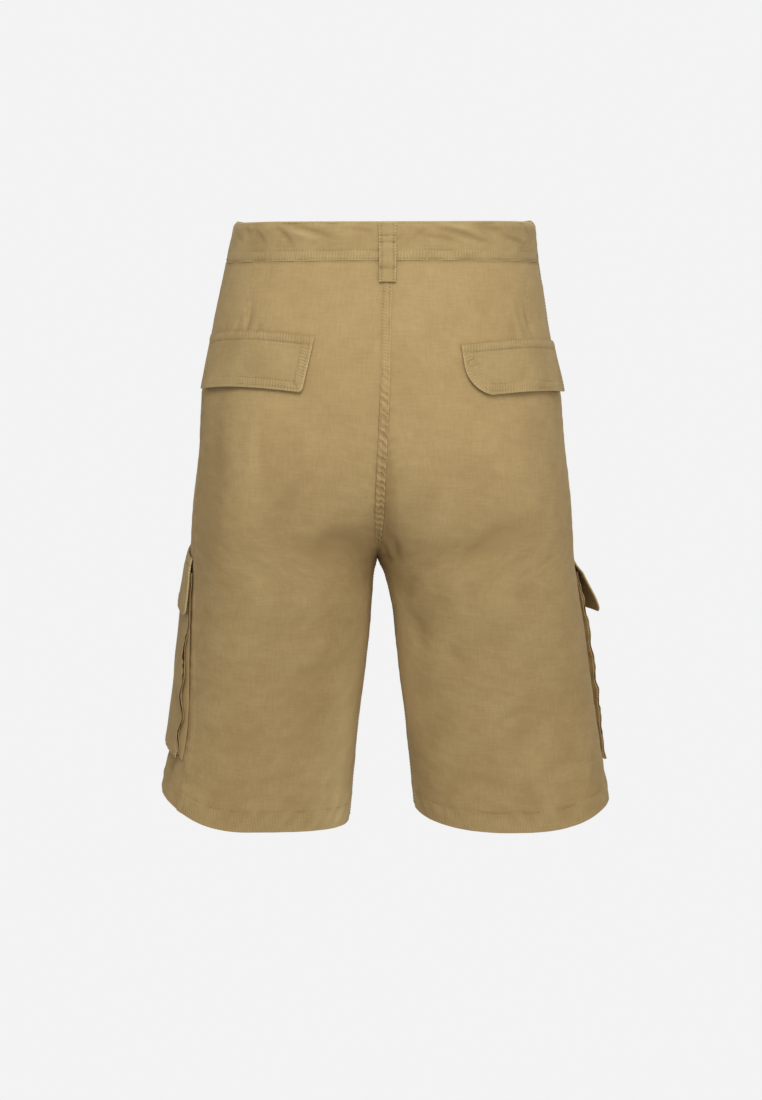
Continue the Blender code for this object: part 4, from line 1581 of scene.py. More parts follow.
@dataclass
class Waistband:
    """One strip, from its end under the front, round the back, to its end over the front."""

    step: float = 0.0019
    upper_row: float = 0.0262
    lower_row: float = 0.0344
    roll: float = 0.0026
    roll_down: float = 0.0075
    boldness: float = 1.6
    wander: float = 0.0016

    def build(self, sewing: Sewing) -> Piece:
        """Makes the band and adds its rows of stitches.

        Args:
            sewing: the materials and the thread.

        Returns:
            The waistband.
        """
        levels = marks(BAND_HEIGHT, 0.0018, (self.upper_row, self.lower_row))
        left, right = HALVES[L], HALVES[R]
        long_right, long_left = float(right.lengths[18]), float(left.lengths[18])
        total = long_right + long_left + 2 * BAND_LAP
        run = marks(total, self.step)
        down, travel = np.meshgrid(levels, run, indexing="ij")
        place = self.wrap(long_right, long_left)
        edge = np.minimum.reduce((down, BAND_HEIGHT - down + 0.0004, travel, total - travel))
        relief = groove(down - self.upper_row, travel, 61) + groove(down - self.lower_row, travel, 62)
        relief += self.drag(down, travel, long_right)
        pull = 0.8 * eased((down - self.upper_row + 0.001) / 0.002) + 0.35 * near(down, 0.006)
        tone = 0.46 + 0.04 * Ripple(64, 0.09)(travel, down) - 0.12 * near(down - self.lower_row, 0.0012)
        tone += 0.14 * near(BAND_HEIGHT - down, 0.0009) + 0.06 * near(down - self.upper_row, 0.0014)
        # Painted shade in the drag creases and painted highlights on their ridges.
        tone += np.clip(130 * self.drag(down, travel, long_right), -0.26, 0.12)
        uv = np.stack([travel, -down], axis=-1)
        args = (down, travel, BAND_IN, BAND_OUT - BAND_IN, edge, relief, uv, tone, pull, travel)
        obj = lay("waistband_strip", place, *args, sewing.trim)
        for row in (self.upper_row, self.lower_row, 0.0018):
            at = np.linspace(0.001, total - 0.001, 900)
            sewing.thread.along(place, np.full(900, row), at, BAND_OUT)
        mount(obj, Slot.CLOTH, "waistband")
        return obj

    def wrap(self, long_right: float, long_left: float) -> Place:
        """Places points by the distance along the strip, which starts under the left front's end.

        Args:
            long_right: the right half's length.
            long_left: the left half's length.

        Returns:
            The function that places points.
        """
        left, right = HALVES[L], HALVES[R]

        def place(down: Array, travel: Array, off: Array) -> Array:
            """The points there.

            Args:
                down: the levels, below the waistband's top edge.
                travel: the distances along the band.
                off: the distances out from the body.

            Returns:
                The points.
            """
            down, travel, off = grids(down, travel, off)
            off = off - self.roll * (1 - eased(down / self.roll_down)) ** 2
            at = travel - BAND_LAP
            from_right = 1 - at / long_right
            on_right = right.lifted(down, from_right * right.length(down), off + self.step_off(at, -1.0))
            past = at - long_right
            other = past / long_left * left.length(down)
            rest = long_right + long_left - at
            on_left = left.lifted(down, other, off + self.step_off(rest, 1.0))
            under = left.lifted(down, left.length(down) + at, off + self.step_off(at, -1.0))
            over = right.lifted(down, right.length(down) + rest, off + self.step_off(rest, 1.0))
            points = np.where((at < long_right)[..., None], on_right, on_left)
            points = np.where((at < 0)[..., None], under, points)
            return np.where((rest < 0)[..., None], over, points)

        return place

    def step_off(self, away: Array, way: float) -> Array:
        """How far the strip stands off near its lapped ends."""
        return way * BAND_LAP_STEP * eased(1 - away / BAND_LAP_EASE)

    def drag(self, down: Array, travel: Array, middle: float) -> Array:
        """The slanted creases that the pull of wearing sets in the band, and soft waves along it.

        Args:
            down: the levels, below the waistband's top edge.
            travel: the distances along the band.
            middle: how far along the band its middle is.

        Returns:
            The height at each point.
        """
        at = travel - BAND_LAP - middle
        height = 0.00030 * Ripple(65, 0.05)(travel, down * 2)
        height += 0.00014 * Ripple(66, 0.018)(travel + down, down * 2.4)
        height += self.boldness * crease_height(at, down, BAND_CREASES, self.wander)
        draw = np.random.default_rng(67)
        for spot in np.arange(-0.42, 0.42, 0.019):
            spot = spot + draw.uniform(-0.008, 0.008)
            level, length = draw.uniform(0.004, 0.022), draw.uniform(0.005, 0.012)
            slope = draw.uniform(0.1, 0.9) * (-1 if spot > 0 else 1)
            size = draw.uniform(0.00020, 0.00050) * (-1 if draw.uniform() < 0.75 else 1)
            run = at - spot
            width = draw.uniform(0.0014, 0.0022)
            height += size * near(run, length) * near(down - level - slope * run, width)
        return height + 0.0002 * near(down - self.upper_row - 0.0045, 0.004)


@dataclass
class Flap:
    """A pocket's flap, sewn along its top, with rows of stitches inside its other edges."""

    name: str
    node: str
    cut: FlapCut
    place: Place
    under: Callable[[Array, Array], Array]
    seed: int
    rests: str
    top_row: float = 0.0082
    rows: tuple[float, float] = (0.0032, 0.0095)

    def rounding(self, past: Array) -> Array:
        """How far the near edge has moved in, that far past the start of its corner."""
        radius = self.cut.corner
        return radius - np.sqrt(radius**2 - (CORNER_SHARE * np.maximum(past, 0.0)) ** 2)

    def outline(self, inset: float) -> Array:
        """The three free edges, moved in by that much, as distances across and down from the flap's top.

        Args:
            inset: how far in from the edge.

        Returns:
            The path of the edge.
        """
        cut = self.cut
        radius = max(cut.corner - inset, 0.0006)
        foot = cut.height - inset
        slope = cut.near_slant / cut.height
        drops = list(np.linspace(0.0, foot - radius, 12))
        side = [(cut.near + inset + slope * d, d) for d in drops]
        centre = (cut.near + inset + slope * (foot - radius) + radius, foot - radius)
        turn = np.linspace(math.pi, math.pi / 2, 14)
        arc = [
            (centre[0] + radius * math.cos(a) + slope * radius, centre[1] + radius * math.sin(a))
            for a in turn[1:]
        ]
        return np.array(side + arc + [(cut.far - inset, foot), (cut.far - inset, 0.0)])

    def drop(self, across: Array) -> Array:
        """How much the flap's middle hangs below its ends, at that distance across."""
        return self.cut.drop * np.sin(math.pi * (across - self.cut.near) / (self.cut.far - self.cut.near))

    def build(self, sewing: Sewing) -> Piece:
        """Makes the flap and adds its stitches.

        Args:
            sewing: the materials and the thread.

        Returns:
            The flap.
        """
        cut = self.cut
        levels = marks(cut.height, 0.0014, (self.top_row,))
        shares = marks(cut.far - cut.near, 0.0018) / (cut.far - cut.near)
        fall = np.repeat(levels[:, None], len(shares), axis=1)
        rounded = self.rounding(levels - cut.height + cut.corner)
        start = cut.near + cut.near_slant * levels / cut.height + rounded
        across = start[:, None] + (cut.far - start)[:, None] * shares
        distance, around = distance_to(across, fall, self.outline(0.0))
        free, _ = distance_to(across, fall, self.grid_edge(levels, start))
        edge = np.minimum(free, fall + 0.0002)
        relief = groove(fall - self.top_row, across, self.seed, 0.00030)
        for row in self.rows:
            relief += groove(distance - row, across + fall, self.seed + 1, 0.00026)
        relief += 0.00022 * Ripple(self.seed, 0.035)(across, fall) * eased(fall / 0.012)
        relief += 0.0004 * near(fall - self.top_row / 2, 0.003)
        bottom = eased((fall / cut.height - 0.4) / 0.6)
        relief += 0.0007 * bottom * Ripple(self.seed + 3, 0.06)(across, fall * 0.2)
        border = eased((self.rows[1] + 0.0006 - distance) / 0.0012)
        below = eased((fall - self.top_row) / 0.002)
        pull = 0.8 * border * below + 0.9 * eased((self.top_row - fall) / 0.001)
        along = np.where(fall < self.top_row, across, around)
        tone = 0.44 + 0.04 * Ripple(self.seed + 2, 0.05)(across, fall) + 0.03 * border
        # Paler free edges; a painted shadow line along the sewn top edge.
        tone += 0.20 * near(free, 0.0010) - 0.60 * near(fall, 0.0009)
        uv = np.stack([across, -fall], axis=-1)
        down = cut.top + fall + self.drop(across)
        share = fall / cut.height
        under = self.under(share, (across - cut.near) / (cut.far - cut.near))
        thickness = FLAP_CLOTH + 0.0004 * border
        args = (down, across, under, thickness, edge, relief, uv, tone, pull, along)
        obj = lay(self.name, self.place, *args, sewing.trim)
        self.stitch(sewing)
        mount(obj, Slot.CLOTH, self.node)
        return obj

    def grid_edge(self, levels: Array, start: Array) -> Array:
        """The free edges exactly as the grid ends."""
        side = list(zip(start, levels))
        return np.array(side + [(self.cut.far, self.cut.height), (self.cut.far, 0.0)])

    def stitch(self, sewing: Sewing) -> None:
        """Adds the rows of stitches.

        Args:
            sewing: the materials and the thread.
        """
        cut = self.cut
        rows = [np.array([(cut.near + 0.001, self.top_row), (cut.far - 0.001, self.top_row)])]
        rows += [self.outline(row)[1:] for row in self.rows]
        for path in rows:
            across, fall = evenly(path, 300)
            keep = fall > 0.0
            across, fall = across[keep], fall[keep]
            under = self.under(fall / cut.height, (across - cut.near) / (cut.far - cut.near))
            down = cut.top + fall + self.drop(across)
            sewing.thread.along(self.place, down, across, under + FLAP_CLOTH + 0.0002)


@dataclass
class CargoPocket:
    """A cargo pocket: a bag held off the leg by a folded gusset, and a flap over its mouth."""

    side: Side
    row_step: float = 0.0022
    half_gusset: float = 0.0088
    gusset_cloth: float = 0.0010
    bag_cloth: float = 0.0012
    column_step: float = 0.0026
    edge_row: float = 0.003
    mouth_hem: float = 0.020
    fold_points: int = 17

    def __post_init__(self) -> None:
        """Sets the pocket's place and the unevenness of its edges."""
        self.place = from_side_seam(self.side)
        self.hug, self.top = HUGS[self.side], CARGO_TOP[self.side]
        self.far = CARGO_AHEAD + CARGO_WIDTH
        self.whole = 2 * CARGO_DEPTH + CARGO_WIDTH
        self.seed = 71 if self.side is L else 81
        self.sway = Ripple(self.seed, self.hug.wavelength)
        self.puff = Ripple(self.seed + 1, 0.060)

    def fallen(self, down: Array) -> Array:
        """The share of the way from the pocket's mouth to its foot."""
        return np.clip((down - self.top) / CARGO_DEPTH, 0.0, 1.0)

    def stand(self, down: Array) -> Array:
        """How far the bag's underside stands off the leg at that level."""
        stand, t = BAG_STAND[self.side], self.fallen(down)
        bow = stand.middle - (stand.mouth + stand.bottom) / 2
        return stand.mouth + (stand.bottom - stand.mouth) * t + bow * 4 * t * (1 - t)

    def sagged(self, down: Array, ahead: Array) -> Array:
        """How far the bag's cloth waves in and out, most along its back edge.

        Args:
            down: the levels, below the waistband's top edge.
            ahead: the distances ahead of the side seam.

        Returns:
            The height at each point.
        """
        back_edge = near(ahead - CARGO_AHEAD, 0.035)
        top = self.top
        free = eased((down - top) / 0.04) * (0.35 + 0.65 * eased((top + CARGO_DEPTH - down) / 0.02))
        hug = self.hug.share * self.stand(down) * back_edge * (1 - self.fallen(down))
        waves = self.hug.waves * back_edge * self.sway(down)
        return free * (waves + 0.0009 * self.puff(down, ahead)) - hug

    def shifted(self, down: Array, ahead: Array) -> Array:
        """How far the bag's back edge waves along the leg.

        Args:
            down: the levels, below the waistband's top edge.
            ahead: the distances ahead of the side seam.

        Returns:
            The move of each point.
        """
        hug = self.hug
        lean = hug.lean_top + (hug.lean_foot - hug.lean_top) * self.fallen(down)
        lean = lean * near(ahead - CARGO_AHEAD, 0.032)
        free = eased((down - self.top) / 0.05)
        return lean + free * near(ahead - CARGO_AHEAD, 0.020) * hug.edge_wave * self.sway(down * 1.3 + 0.4)

    def hung(self, down: Array, ahead: Array) -> Array:
        """The pocket's levels, lower towards the foot of its back edge."""
        return down + self.hug.droop * self.fallen(down) * near(ahead - CARGO_AHEAD, 0.060)

    def bag(self, sewing: Sewing) -> Piece:
        """Makes the bag and adds its edge stitches.

        Args:
            sewing: the materials and the thread.

        Returns:
            The bag.
        """
        top, row = self.top, self.edge_row
        levels = top + marks(CARGO_DEPTH, self.row_step, (self.mouth_hem, CARGO_DEPTH - row))
        spots = CARGO_AHEAD + marks(CARGO_WIDTH, self.column_step, (row, CARGO_WIDTH - row))
        down, ahead = np.meshgrid(levels, spots, indexing="ij")
        across = ahead + self.shifted(down, ahead)
        from_sides = np.minimum(ahead - CARGO_AHEAD, self.far - ahead)
        from_foot = top + CARGO_DEPTH - down
        edge = np.minimum.reduce((from_sides, from_foot, down - top))
        rim = np.minimum(from_sides, from_foot)
        relief = groove(rim - row, down + ahead, self.seed) + self.sagged(down, ahead)
        relief += groove(down - top - self.mouth_hem, ahead, self.seed + 1)
        relief += puckers(rim, down + ahead, self.seed + 2, 0.0005, 0.010, 0.013)
        pull = eased((0.0036 - rim) / 0.0012)
        along = np.where(from_sides < from_foot, down, ahead)
        # Painted shade in the bag's troughs and painted highlights on its ridges.
        tone = 0.45 + 0.04 * self.puff(down * 2, ahead * 2) + np.clip(relief * 25, -0.06, 0.06)
        uv = np.stack([ahead, -down], axis=-1)
        under = self.stand(down)
        args = (self.hung(down, ahead), across, under, self.bag_cloth, edge, relief, uv, tone, pull, along)
        obj = lay(f"cargo_bag_{self.side.value}_cloth", self.place, *args, sewing.cloth)
        self.stitch(sewing)
        mount(obj, Slot.CLOTH, f"cargo_bag_{self.side.value}")
        return obj

    def stitch(self, sewing: Sewing) -> None:
        """Adds the bag's row along three sides.

        Args:
            sewing: the materials and the thread.
        """
        top, row = self.top, self.edge_row
        near_edge, far_edge = CARGO_AHEAD + row, self.far - row
        foot = top + CARGO_DEPTH - row
        path = np.array([(near_edge, top), (near_edge, foot), (far_edge, foot), (far_edge, top)])
        ahead, down = evenly(path, 500)
        off = self.stand(down) + self.bag_cloth + self.sagged(down, ahead)
        sewing.thread.along(self.place, self.hung(down, ahead), ahead + self.shifted(down, ahead), off)

    def route(self, inset: Array, share: Array) -> tuple[Array, Array]:
        """The way round the pocket from its mouth, down, across and up, that far in.

        Args:
            inset: how far in from the edge.
            share: the shares of the way round the pocket.

        Returns:
            The distances ahead and the levels.
        """
        bottom = self.top + CARGO_DEPTH - inset
        near_edge, far_edge = CARGO_AHEAD + inset, self.far - inset
        turns = (CARGO_DEPTH / self.whole, (CARGO_DEPTH + CARGO_WIDTH) / self.whole)
        t0 = np.clip(share / turns[0], 0.0, 1.0)
        t1 = np.clip((share - turns[0]) / (turns[1] - turns[0]), 0.0, 1.0)
        t2 = np.clip((share - turns[1]) / (1 - turns[1]), 0.0, 1.0)
        ahead = near_edge + (far_edge - near_edge) * t1
        return ahead, self.top + (bottom - self.top) * (t0 - t2)

    def gusset(self, sewing: Sewing) -> Piece:
        """Makes the strip that joins the bag to the leg, folded inward, with an uneven fold.

        Args:
            sewing: the materials and the thread.

        Returns:
            The gusset.
        """
        total = self.whole
        shares = marks(total, 0.0024, (CARGO_DEPTH, CARGO_DEPTH + CARGO_WIDTH)) / total
        share, turn = np.meshgrid(shares, np.linspace(0.0, 1.0, self.fold_points), indexing="ij")
        ends = eased(share * total / 0.02) * eased((1 - share) * total / 0.02)
        stand = self.stand(self.route(0.0, share)[1])
        depth = np.sqrt(self.half_gusset**2 - (stand / 2) ** 2) * (0.95 + 0.05 * self.sway(share * total))
        v_shape = 1 - np.abs(2 * turn - 1)
        soft = np.sqrt(v_shape**2 + 0.02) - math.sqrt(0.02)
        faces = []
        for shift in (1.0, -1.0):
            facing = np.where(turn < 0.5, 1.0, -1.0) * np.clip(np.abs(2 * turn - 1) * 8, 0, 1)
            offset = shift * self.gusset_cloth / 2 * facing
            inset = np.maximum(depth * soft + 0.0004 * (shift > 0) * v_shape, 0.0)
            ahead, down = self.route(inset, share)
            wave = self.shifted(down, ahead) * (1 - turn)
            rise = self.stand(down) - 0.0008 + self.sagged(down, ahead) * (1 - turn)
            level = (1 - turn) + 0.035 * np.sin(2 * math.pi * turn) * ends
            rise = np.maximum(rise - 0.0010, 0.0002)
            off = REST_GAP + 0.0005 + np.clip(level, 0.0, 1.0) * rise - offset * 0.9
            faces.append(self.place(self.hung(down, ahead), ahead + wave, off))
        uv = np.stack([turn * 0.018, share * total], axis=-1)
        # Painted shade: darker towards the fold, deep in the gap between bag and leg.
        tone = 0.43 + 0.03 * Ripple(self.seed + 5, 0.04)(share * total, turn) - 0.10 * v_shape
        obj = make_wall(f"cargo_gusset_{self.side.value}_cloth", faces[0], faces[1], uv, tone, sewing.cloth)
        mark_seams(obj, np.full(share.shape, 0.35), share * total)
        mount(obj, Slot.CLOTH, f"cargo_gusset_{self.side.value}")
        return obj

    def flap(self, sewing: Sewing) -> Piece:
        """Makes the flap over the bag's mouth.

        Args:
            sewing: the materials and the thread.

        Returns:
            The flap.
        """
        cut, name = CARGO_FLAPS[self.side], f"cargo_flap_{self.side.value}"

        def under(share: Array, across: Array) -> Array:
            """How far off the leg its underside is: it steps over the bag's mouth.

            Args:
                share: the shares of the flap's height.
                across: the shares of the flap's width.

            Returns:
                The distance off the leg.
            """
            share = np.asarray(share, float)
            level = cut.top + cut.height * share
            hug = self.hug.share * near(across * CARGO_WIDTH, 0.035) * (1 - self.fallen(level))
            over_bag = self.stand(level) * (1 - hug) + 0.0016
            rise = np.minimum(1.0, (share + 0.02) / 0.30)
            lift = cut.lift + cut.lift_near * (1 - across) ** 3
            sway = 0.0004 + 0.0004 * Ripple(self.seed + 7, 0.05)(across * 0.17)
            return REST_GAP + over_bag * rise + lift * eased(share) + sway * share

        bag = f"cargo_bag_{self.side.value}_cloth"
        return Flap(name + "_cloth", name, cut, self.place, under, self.seed + 8, bag).build(sewing)


@dataclass
class BeltLoop:
    """A strap over the waistband, tacked at its top and below the band, and bowed out between."""

    name: str
    node: str
    place: Place
    width: float = 0.0162
    cloth: float = 0.0015
    top: float = 0.0008
    bottom: float = 0.0560
    bow: float = 0.0024
    over_seam: float = 0.0
    tacks: tuple[float, ...] = (0.0130, 0.0192, 0.0432)

    def off(self, down: Array) -> Array:
        """How far its underside stands off."""
        below = eased((down - BAND_HEIGHT + 0.004) / 0.008)
        rest = REST_GAP + BAND_OUT * (1 - below) + self.over_seam * below
        rise = eased((down - 0.0185) / 0.008) * eased((0.0440 - down) / 0.008)
        return rest + self.bow * rise * 0.5 + 0.0004 * eased((down - 0.045) / 0.009)

    def build(self, sewing: Sewing) -> Piece:
        """Makes the loop and adds its edge stitches and bar tacks.

        Args:
            sewing: the materials and the thread.

        Returns:
            The loop.
        """
        levels = self.top + marks(self.bottom - self.top, 0.0010, self.tacks)
        spots = marks(self.width, 0.0009, (0.0024, self.width - 0.0024)) - self.width / 2
        down, across = np.meshgrid(levels, spots, indexing="ij")
        wide = 1 + 0.05 * eased((0.0135 - down) / 0.003)
        from_side = self.width / 2 - np.abs(across)
        edge = np.minimum.reduce((from_side, down - self.top, self.bottom - down))
        relief = groove(from_side - 0.0024, down, 91, 0.00032)
        relief += 0.00035 * eased((from_side - 0.003) / 0.002) * (1 - 0.5 * near(across, 0.002))
        for tack in self.tacks:
            relief = relief - 0.00045 * near(down - tack, 0.0011)
        relief += 0.00025 * Ripple(92, 0.012)(across, down)
        pull = eased((0.0030 - from_side) / 0.001)
        tone = 0.46 - 0.12 * sum(near(down - tack, 0.0011) for tack in self.tacks)
        tone += 0.10 * near(from_side, 0.0008)
        uv = np.stack([across, -down], axis=-1)
        args = (down, across * wide, self.off(down), self.cloth, edge, relief, uv, tone, pull, down)
        obj = lay(self.name, self.place, *args, sewing.trim)
        run = np.linspace(self.top + 0.001, self.bottom - 0.001, 80)
        for spot in (-self.width / 2 + 0.0024, self.width / 2 - 0.0024):
            sewing.thread.along(self.place, run, np.full(80, spot), self.off(run) + self.cloth)
        for tack in self.tacks:
            spots = np.linspace(-self.width / 2 + 0.001, self.width / 2 - 0.001, 30)
            rest = self.off(np.full(30, tack)) + self.cloth - 0.0003
            sewing.tack.along(self.place, np.full(30, tack), spots, rest, 0.0011)
        mount(obj, Slot.CLOTH, self.node)
        return obj


def placed(place: Place, down: float, across: float, off: float) -> tuple[Vector, Vector, Vector, Vector]:
    """A spot on the garment and its three directions: across, up the cloth, and out of it.

    Args:
        place: what puts points on the garment.
        down: the level.
        across: the distance across.
        off: the distance out.

    Returns:
        The point, and the ways across, up and out there.
    """

    def at(d: float, a: float, o: float) -> Array:
        """One point."""
        return place(np.array([d]), np.array([a]), np.array([o]))[0]

    spot = at(down, across, off)
    out = Vector(at(down, across, off + 0.002) - spot).normalized()
    side = Vector(at(down, across + 0.002, off) - spot).normalized()
    up = out.cross(side).normalized()
    return Vector(spot), up.cross(out).normalized(), up, out


def settle(obj: Piece, spot: Vector, side: Vector, up: Vector, out: Vector) -> None:
    """Moves a mesh made at the origin to its spot, with its axes across, up and out."""
    for vertex in obj.data.vertices:
        x, y, z = vertex.co
        vertex.co = spot + side * x + up * y + out * z
    obj.data.update()


@dataclass
class WaistButton:
    """A four-hole button with a raised rim, sewn through its holes."""

    radius: float = 0.0085
    thick: float = 0.0034
    rim: float = 0.0016
    dish: float = 0.0009
    hole: float = 0.0010
    hole_out: float = 0.0021
    down: float = 0.019
    across: float = 0.004

    def build(self, material: Material, spare: Thread) -> Piece:
        """Turns the button, drills it, sets it on the band and sews it on.

        Args:
            material: the button's material.
            spare: the thread that sews it on.

        Returns:
            The button.
        """
        bpy.ops.object.select_all(action="DESELECT")
        bpy.ops.mesh.primitive_cylinder_add(vertices=48, radius=self.radius, depth=self.thick)
        obj = bpy.context.object
        obj.name = "button"
        bpy.ops.object.mode_set(mode="EDIT")
        bpy.ops.mesh.select_mode(type="FACE")
        bpy.ops.mesh.select_all(action="DESELECT")
        bpy.ops.object.mode_set(mode="OBJECT")
        for face in obj.data.polygons:
            face.select = face.normal.z > 0.9
        bpy.ops.object.mode_set(mode="EDIT")
        bpy.ops.mesh.inset(thickness=self.rim)
        bpy.ops.mesh.inset(thickness=0.0005)
        bpy.ops.transform.translate(value=(0.0, 0.0, -self.dish))
        bpy.ops.object.mode_set(mode="OBJECT")
        holes = []
        for k in range(4):
            angle = math.pi / 4 + k * math.pi / 2
            spot = (self.hole_out * math.cos(angle), self.hole_out * math.sin(angle), 0.0)
            depth = self.thick * 3
            bpy.ops.mesh.primitive_cylinder_add(vertices=16, radius=self.hole, depth=depth, location=spot)
            holes.append(bpy.context.object)
        for hole in holes:
            cut = obj.modifiers.new("hole", "BOOLEAN")
            cut.object = hole
            cut.operation = "DIFFERENCE"
        rounding = obj.modifiers.new("rim", "BEVEL")
        rounding.width, rounding.segments, rounding.limit_method = 0.0003, 3, "ANGLE"
        bpy.context.view_layer.objects.active = obj
        for modifier in list(obj.modifiers):
            bpy.ops.object.modifier_apply(modifier=modifier.name)
        for hole in holes:
            bpy.data.objects.remove(hole)
        bpy.ops.object.select_all(action="DESELECT")
        obj.select_set(True)
        bpy.ops.object.shade_smooth_by_angle(angle=math.radians(40))
        off = BAND_OUT + BAND_LAP_STEP + REST_GAP + self.thick / 2
        axes = placed(from_middle(R, Cut.FRONT), self.down, self.across, off)
        settle(obj, *axes)
        obj.data.materials.clear()
        obj.data.materials.append(material)
        self.sew(spare, *axes)
        return mount(obj, Slot.BUTTON, "waist_button")

    def sew(self, spare: Thread, spot: Vector, side: Vector, up: Vector, out: Vector) -> None:
        """Adds the thread through the holes: two bars of three strands.

        Args:
            spare: the thread that sews it on.
            spot: the button's middle.
            side: the way across.
            up: the way up.
            out: the way out from the cloth.
        """
        reach = self.hole_out * math.sqrt(0.5)
        lift = self.thick / 2 - self.dish + 0.0002
        for bar in (-1, 1):
            for strand in (-1, 0, 1):
                shift = side * (bar * reach + strand * 0.0004)
                ends = [spot + shift + up * (way * (reach + 0.0004)) + out * lift for way in (-1, 1)]
                path = np.array([list(ends[0]), list(ends[1])])
                length = float(np.linalg.norm(path[1] - path[0]))
                spare.row(path, path + np.array(list(out)) * 0.001, length / spare.fill * 0.999)


@dataclass
class Zip:
    """The fly's closed zip: two tapes and moulded teeth."""

    top: float = 0.046
    bottom: float = 0.188
    width: float = 0.026
    thick: float = 0.0009
    behind: float = -0.0027
    pitch: float = 0.0020

    def build(self, tape: Material, teeth: Material) -> None:
        """Makes the tapes and the teeth.

        Args:
            tape: the tapes' material.
            teeth: the teeth's material.
        """
        place = from_middle(R, Cut.FRONT)
        levels = self.top + marks(self.bottom - self.top, 0.003)
        spots = marks(self.width, 0.0012) - self.width / 2
        down, across = np.meshgrid(levels, spots, indexing="ij")
        from_side = self.width / 2 - np.abs(across)
        edge = np.minimum.reduce((from_side, down - self.top, self.bottom - down))
        relief = 0.0001 * near(from_side - 0.003, 0.001) - 0.0003 * near(across, 0.0008)
        uv = np.stack([across, -down], axis=-1)
        flat = np.full(down.shape, 0.45)
        args = (down, across, self.behind - self.thick, self.thick, edge, relief, uv, flat, flat * 0, down)
        tapes = lay("zip_tapes", place, *args, tape)
        mount(tapes, Slot.ZIP, "zip")
        chain = Thread(pitch=0.0036, fill=1.0, radius=0.00062)
        count = int((self.bottom - self.top - 0.006) / self.pitch)
        off = self.behind - self.thick - 0.0001
        for k in range(count):
            level = self.top + 0.003 + k * self.pitch
            way = 1 if k % 2 else -1
            ends = np.array([-0.0006, 0.0030]) * way
            levels = np.full(2, level)
            outer = place(levels, ends, np.full(2, off))
            inner = place(levels, ends, np.full(2, off - 0.001))
            chain.row(outer, inner, float(np.linalg.norm(outer[1] - outer[0])) * 0.999)
        mount(chain.build("zip_teeth", teeth, 5), Slot.ZIP)


class Studio:
    """The pale room, its soft lights and the camera."""

    pale = 0.896

    def seamless(self, name: str, glow: float, bounce: float) -> Material:
        """A plain pale paper that looks evenly lit and throws back a little light.

        Args:
            name: its name.
            glow: how brightly it shows.
            bounce: how much light it returns.

        Returns:
            The material.
        """
        material, graph, shader = new_material(name)
        material.node_tree.nodes.remove(shader)
        output = material.node_tree.nodes["Material Output"]
        seen = graph.node("ShaderNodeEmission")
        seen.inputs["Color"].default_value = (glow, glow, glow, 1.0)
        paper = graph.node("ShaderNodeBsdfDiffuse")
        paper.inputs["Color"].default_value = (bounce, bounce, bounce, 1.0)
        choice = graph.node("ShaderNodeMixShader")
        graph.feed(choice.inputs[0], graph.node("ShaderNodeLightPath").outputs["Is Camera Ray"])
        graph.feed(choice.inputs[1], paper.outputs[0])
        graph.feed(choice.inputs[2], seen.outputs[0])
        graph.feed(output.inputs["Surface"], choice.outputs[0])
        return material

    def room(self, ambient: float) -> None:
        """The floor, and the light that comes from all round.

        Args:
            ambient: the strength of the light from all round.
        """
        bpy.ops.object.select_all(action="DESELECT")
        bpy.ops.mesh.primitive_plane_add(size=60.0, location=(0.0, 0.0, -1.0))
        floor = bpy.context.object
        floor.name = "floor"
        floor.data.materials.append(self.seamless("pale paper", self.pale, 0.55))
        world = bpy.data.worlds.new("studio")
        bpy.context.scene.world = world
        world.use_nodes = True
        graph = Graph(world.node_tree)
        back = world.node_tree.nodes["Background"]
        back.inputs["Strength"].default_value = 1.0
        seen = graph.node("ShaderNodeLightPath").outputs["Is Camera Ray"]
        dim = (ambient, ambient, ambient, 1.0)
        graph.feed(back.inputs["Color"], graph.blend(seen, dim, (self.pale, self.pale, self.pale, 1.0)))

    def softbox(self, name: str, spot: Three, size: float, power: float, aim: Vector) -> None:
        """A large square lamp aimed at the shorts.

        Args:
            name: its name.
            spot: its place.
            size: the length of its sides.
            power: its power in watts.
            aim: the point it faces.
        """
        lamp = bpy.data.lights.new(name, "AREA")
        lamp.size, lamp.energy = size, power
        obj = bpy.data.objects.new(name, lamp)
        bpy.context.scene.collection.objects.link(obj)
        obj.location = spot
        obj.rotation_euler = (aim - Vector(spot)).to_track_quat("-Z", "Y").to_euler()

    def camera(self) -> None:
        """The camera, a little above the middle and a touch to the left."""
        target, distance = Vector((-0.003, 0.0, -0.328)), 3.0
        azimuth, elevation = math.radians(-2.0), math.radians(10.0)
        level = math.cos(elevation)
        way = Vector((math.sin(azimuth) * level, -math.cos(azimuth) * level, math.sin(elevation)))
        lens = bpy.data.cameras.new("camera")
        lens.lens, lens.sensor_width, lens.sensor_fit = 98.18, 36.0, "AUTO"
        obj = bpy.data.objects.new("camera", lens)
        bpy.context.scene.collection.objects.link(obj)
        obj.location = target + way * distance
        obj.rotation_euler = (-way).to_track_quat("-Z", "Y").to_euler()
        bpy.context.scene.camera = obj
        bpy.context.scene.view_settings.view_transform = "Standard"

    def build(self) -> None:
        """Sets up the room, the lights and the camera."""
        self.room(0.52)
        middle = Vector((0.0, 0.0, -0.22))
        self.softbox("key", (-0.15, -1.75, 1.35), 1.1, 27.0, middle)
        self.softbox("fill", (1.3, -2.4, 0.5), 1.2, 11.0, middle)
        self.softbox("front", (0.6, 2.3, 1.5), 1.6, 30.0, middle)
        self.camera()


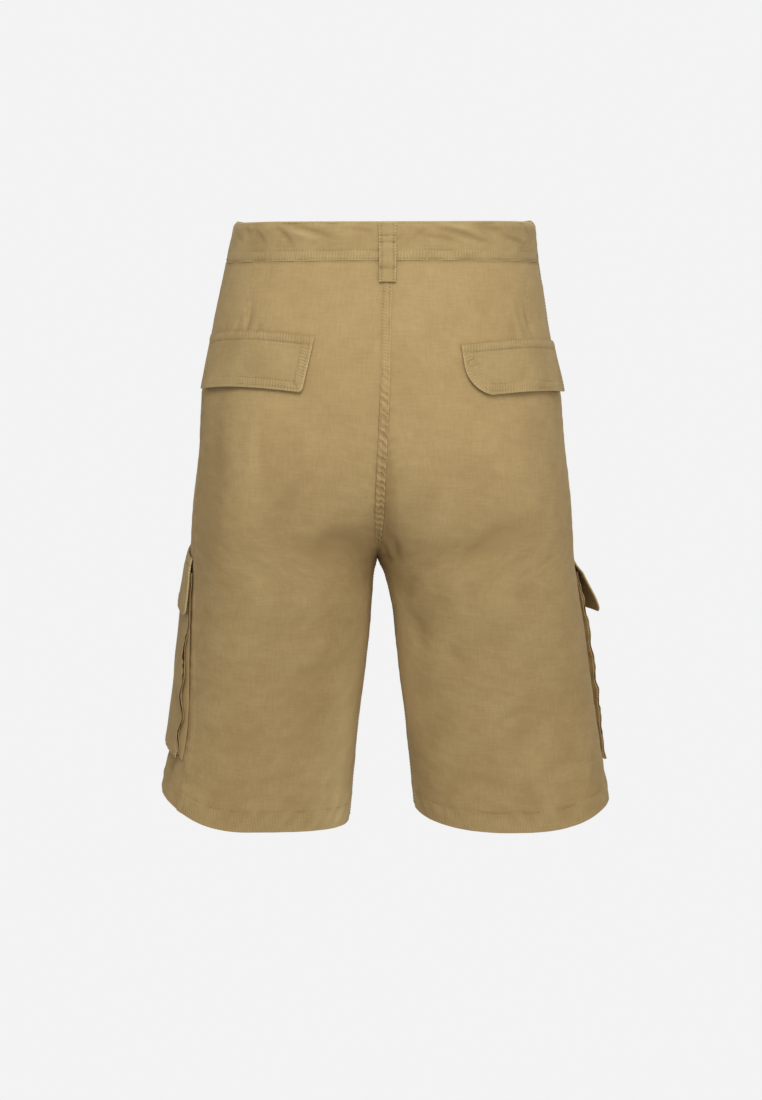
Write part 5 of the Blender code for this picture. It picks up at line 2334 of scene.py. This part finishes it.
def seat_flap(side: Side) -> Flap:
    """A back pocket's flap, standing a little off the seat below.

    Args:
        side: the side of the garment.

    Returns:
        The flap.
    """
    cut = SEAT_FLAPS[side]
    seed = 101 if side is L else 111

    def under(share: Array, across: Array) -> Array:
        """How far off the seat its underside is."""
        share, across = np.asarray(share, float), np.asarray(across, float)
        end = 0.0008 * near(across - 1.0, 0.10) + 0.0006 * near(across, 0.10)
        return REST_GAP + 0.0002 + cut.lift * share + end * share**2

    name = f"seat_flap_{side.value}"
    place = from_middle(side, Cut.BACK)
    return Flap(name + "_cloth", name, cut, place, under, seed, f"back_{side.value}_panel")


def main() -> None:
    """Builds the shorts in the order in which they are sewn, then the studio."""
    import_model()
    for side in Side:
        HALVES[side] = Half(side)
    weave, seam = RipstopWeave().group(), PulledSeam().group()
    cloth = KhakiCloth("khaki ripstop", (0.378, 0.254, 0.107), (0.660, 0.497, 0.236), weave, seam).material()
    pale_trim = (0.646, 0.487, 0.2355)
    trim = KhakiCloth("khaki ripstop trim", (0.361, 0.249, 0.1055), pale_trim, weave, seam).material()
    tape = KhakiCloth("zip tape weave", (0.135, 0.094, 0.046), (0.235, 0.169, 0.091), weave, seam).material()
    thread_finish = SewingThread("khaki thread", (0.30, 0.205, 0.09), (0.52, 0.39, 0.20)).material()
    resin = Resin("horn resin", (0.06, 0.032, 0.014), (0.24, 0.14, 0.06)).material()
    teeth = Resin("zip resin", (0.09, 0.06, 0.03), (0.16, 0.11, 0.055), 500.0, 0.4).material()
    thread, tack = Thread(), Thread(pitch=0.0011, fill=1.25, radius=0.00036)
    button_thread = Thread(radius=0.00022)
    sewing = Sewing(cloth, trim, thread, tack)
    for side in Side:
        for cut in Cut:
            Panel(side, cut).build(sewing)
    Waistband().build(sewing)
    for side in Side:
        seat_flap(side).build(sewing)
        pocket = CargoPocket(side)
        pocket.gusset(sewing)
        pocket.bag(sewing)
        pocket.flap(sewing)
    behind = from_middle(R, Cut.BACK)
    BeltLoop("belt_loop_back_strap", "belt_loop_back", behind, over_seam=0.0014).build(sewing)
    for side in Side:
        beside = from_side_seam(side, FRONT_LOOP_AHEAD)
        BeltLoop(f"belt_loop_{side.value}_strap", f"belt_loop_{side.value}", beside).build(sewing)
    Zip().build(tape, teeth)
    WaistButton().build(resin, button_thread)
    mount(thread.build("topstitching", thread_finish, 3), Slot.CLOTH)
    mount(tack.build("bar_tacks", thread_finish, 4), Slot.CLOTH)
    mount(button_thread.build("button_thread", thread_finish, 6), Slot.CLOTH)
    Studio().build()


if __name__ == "__main__":
    logging.basicConfig(level=logging.INFO)
    main()
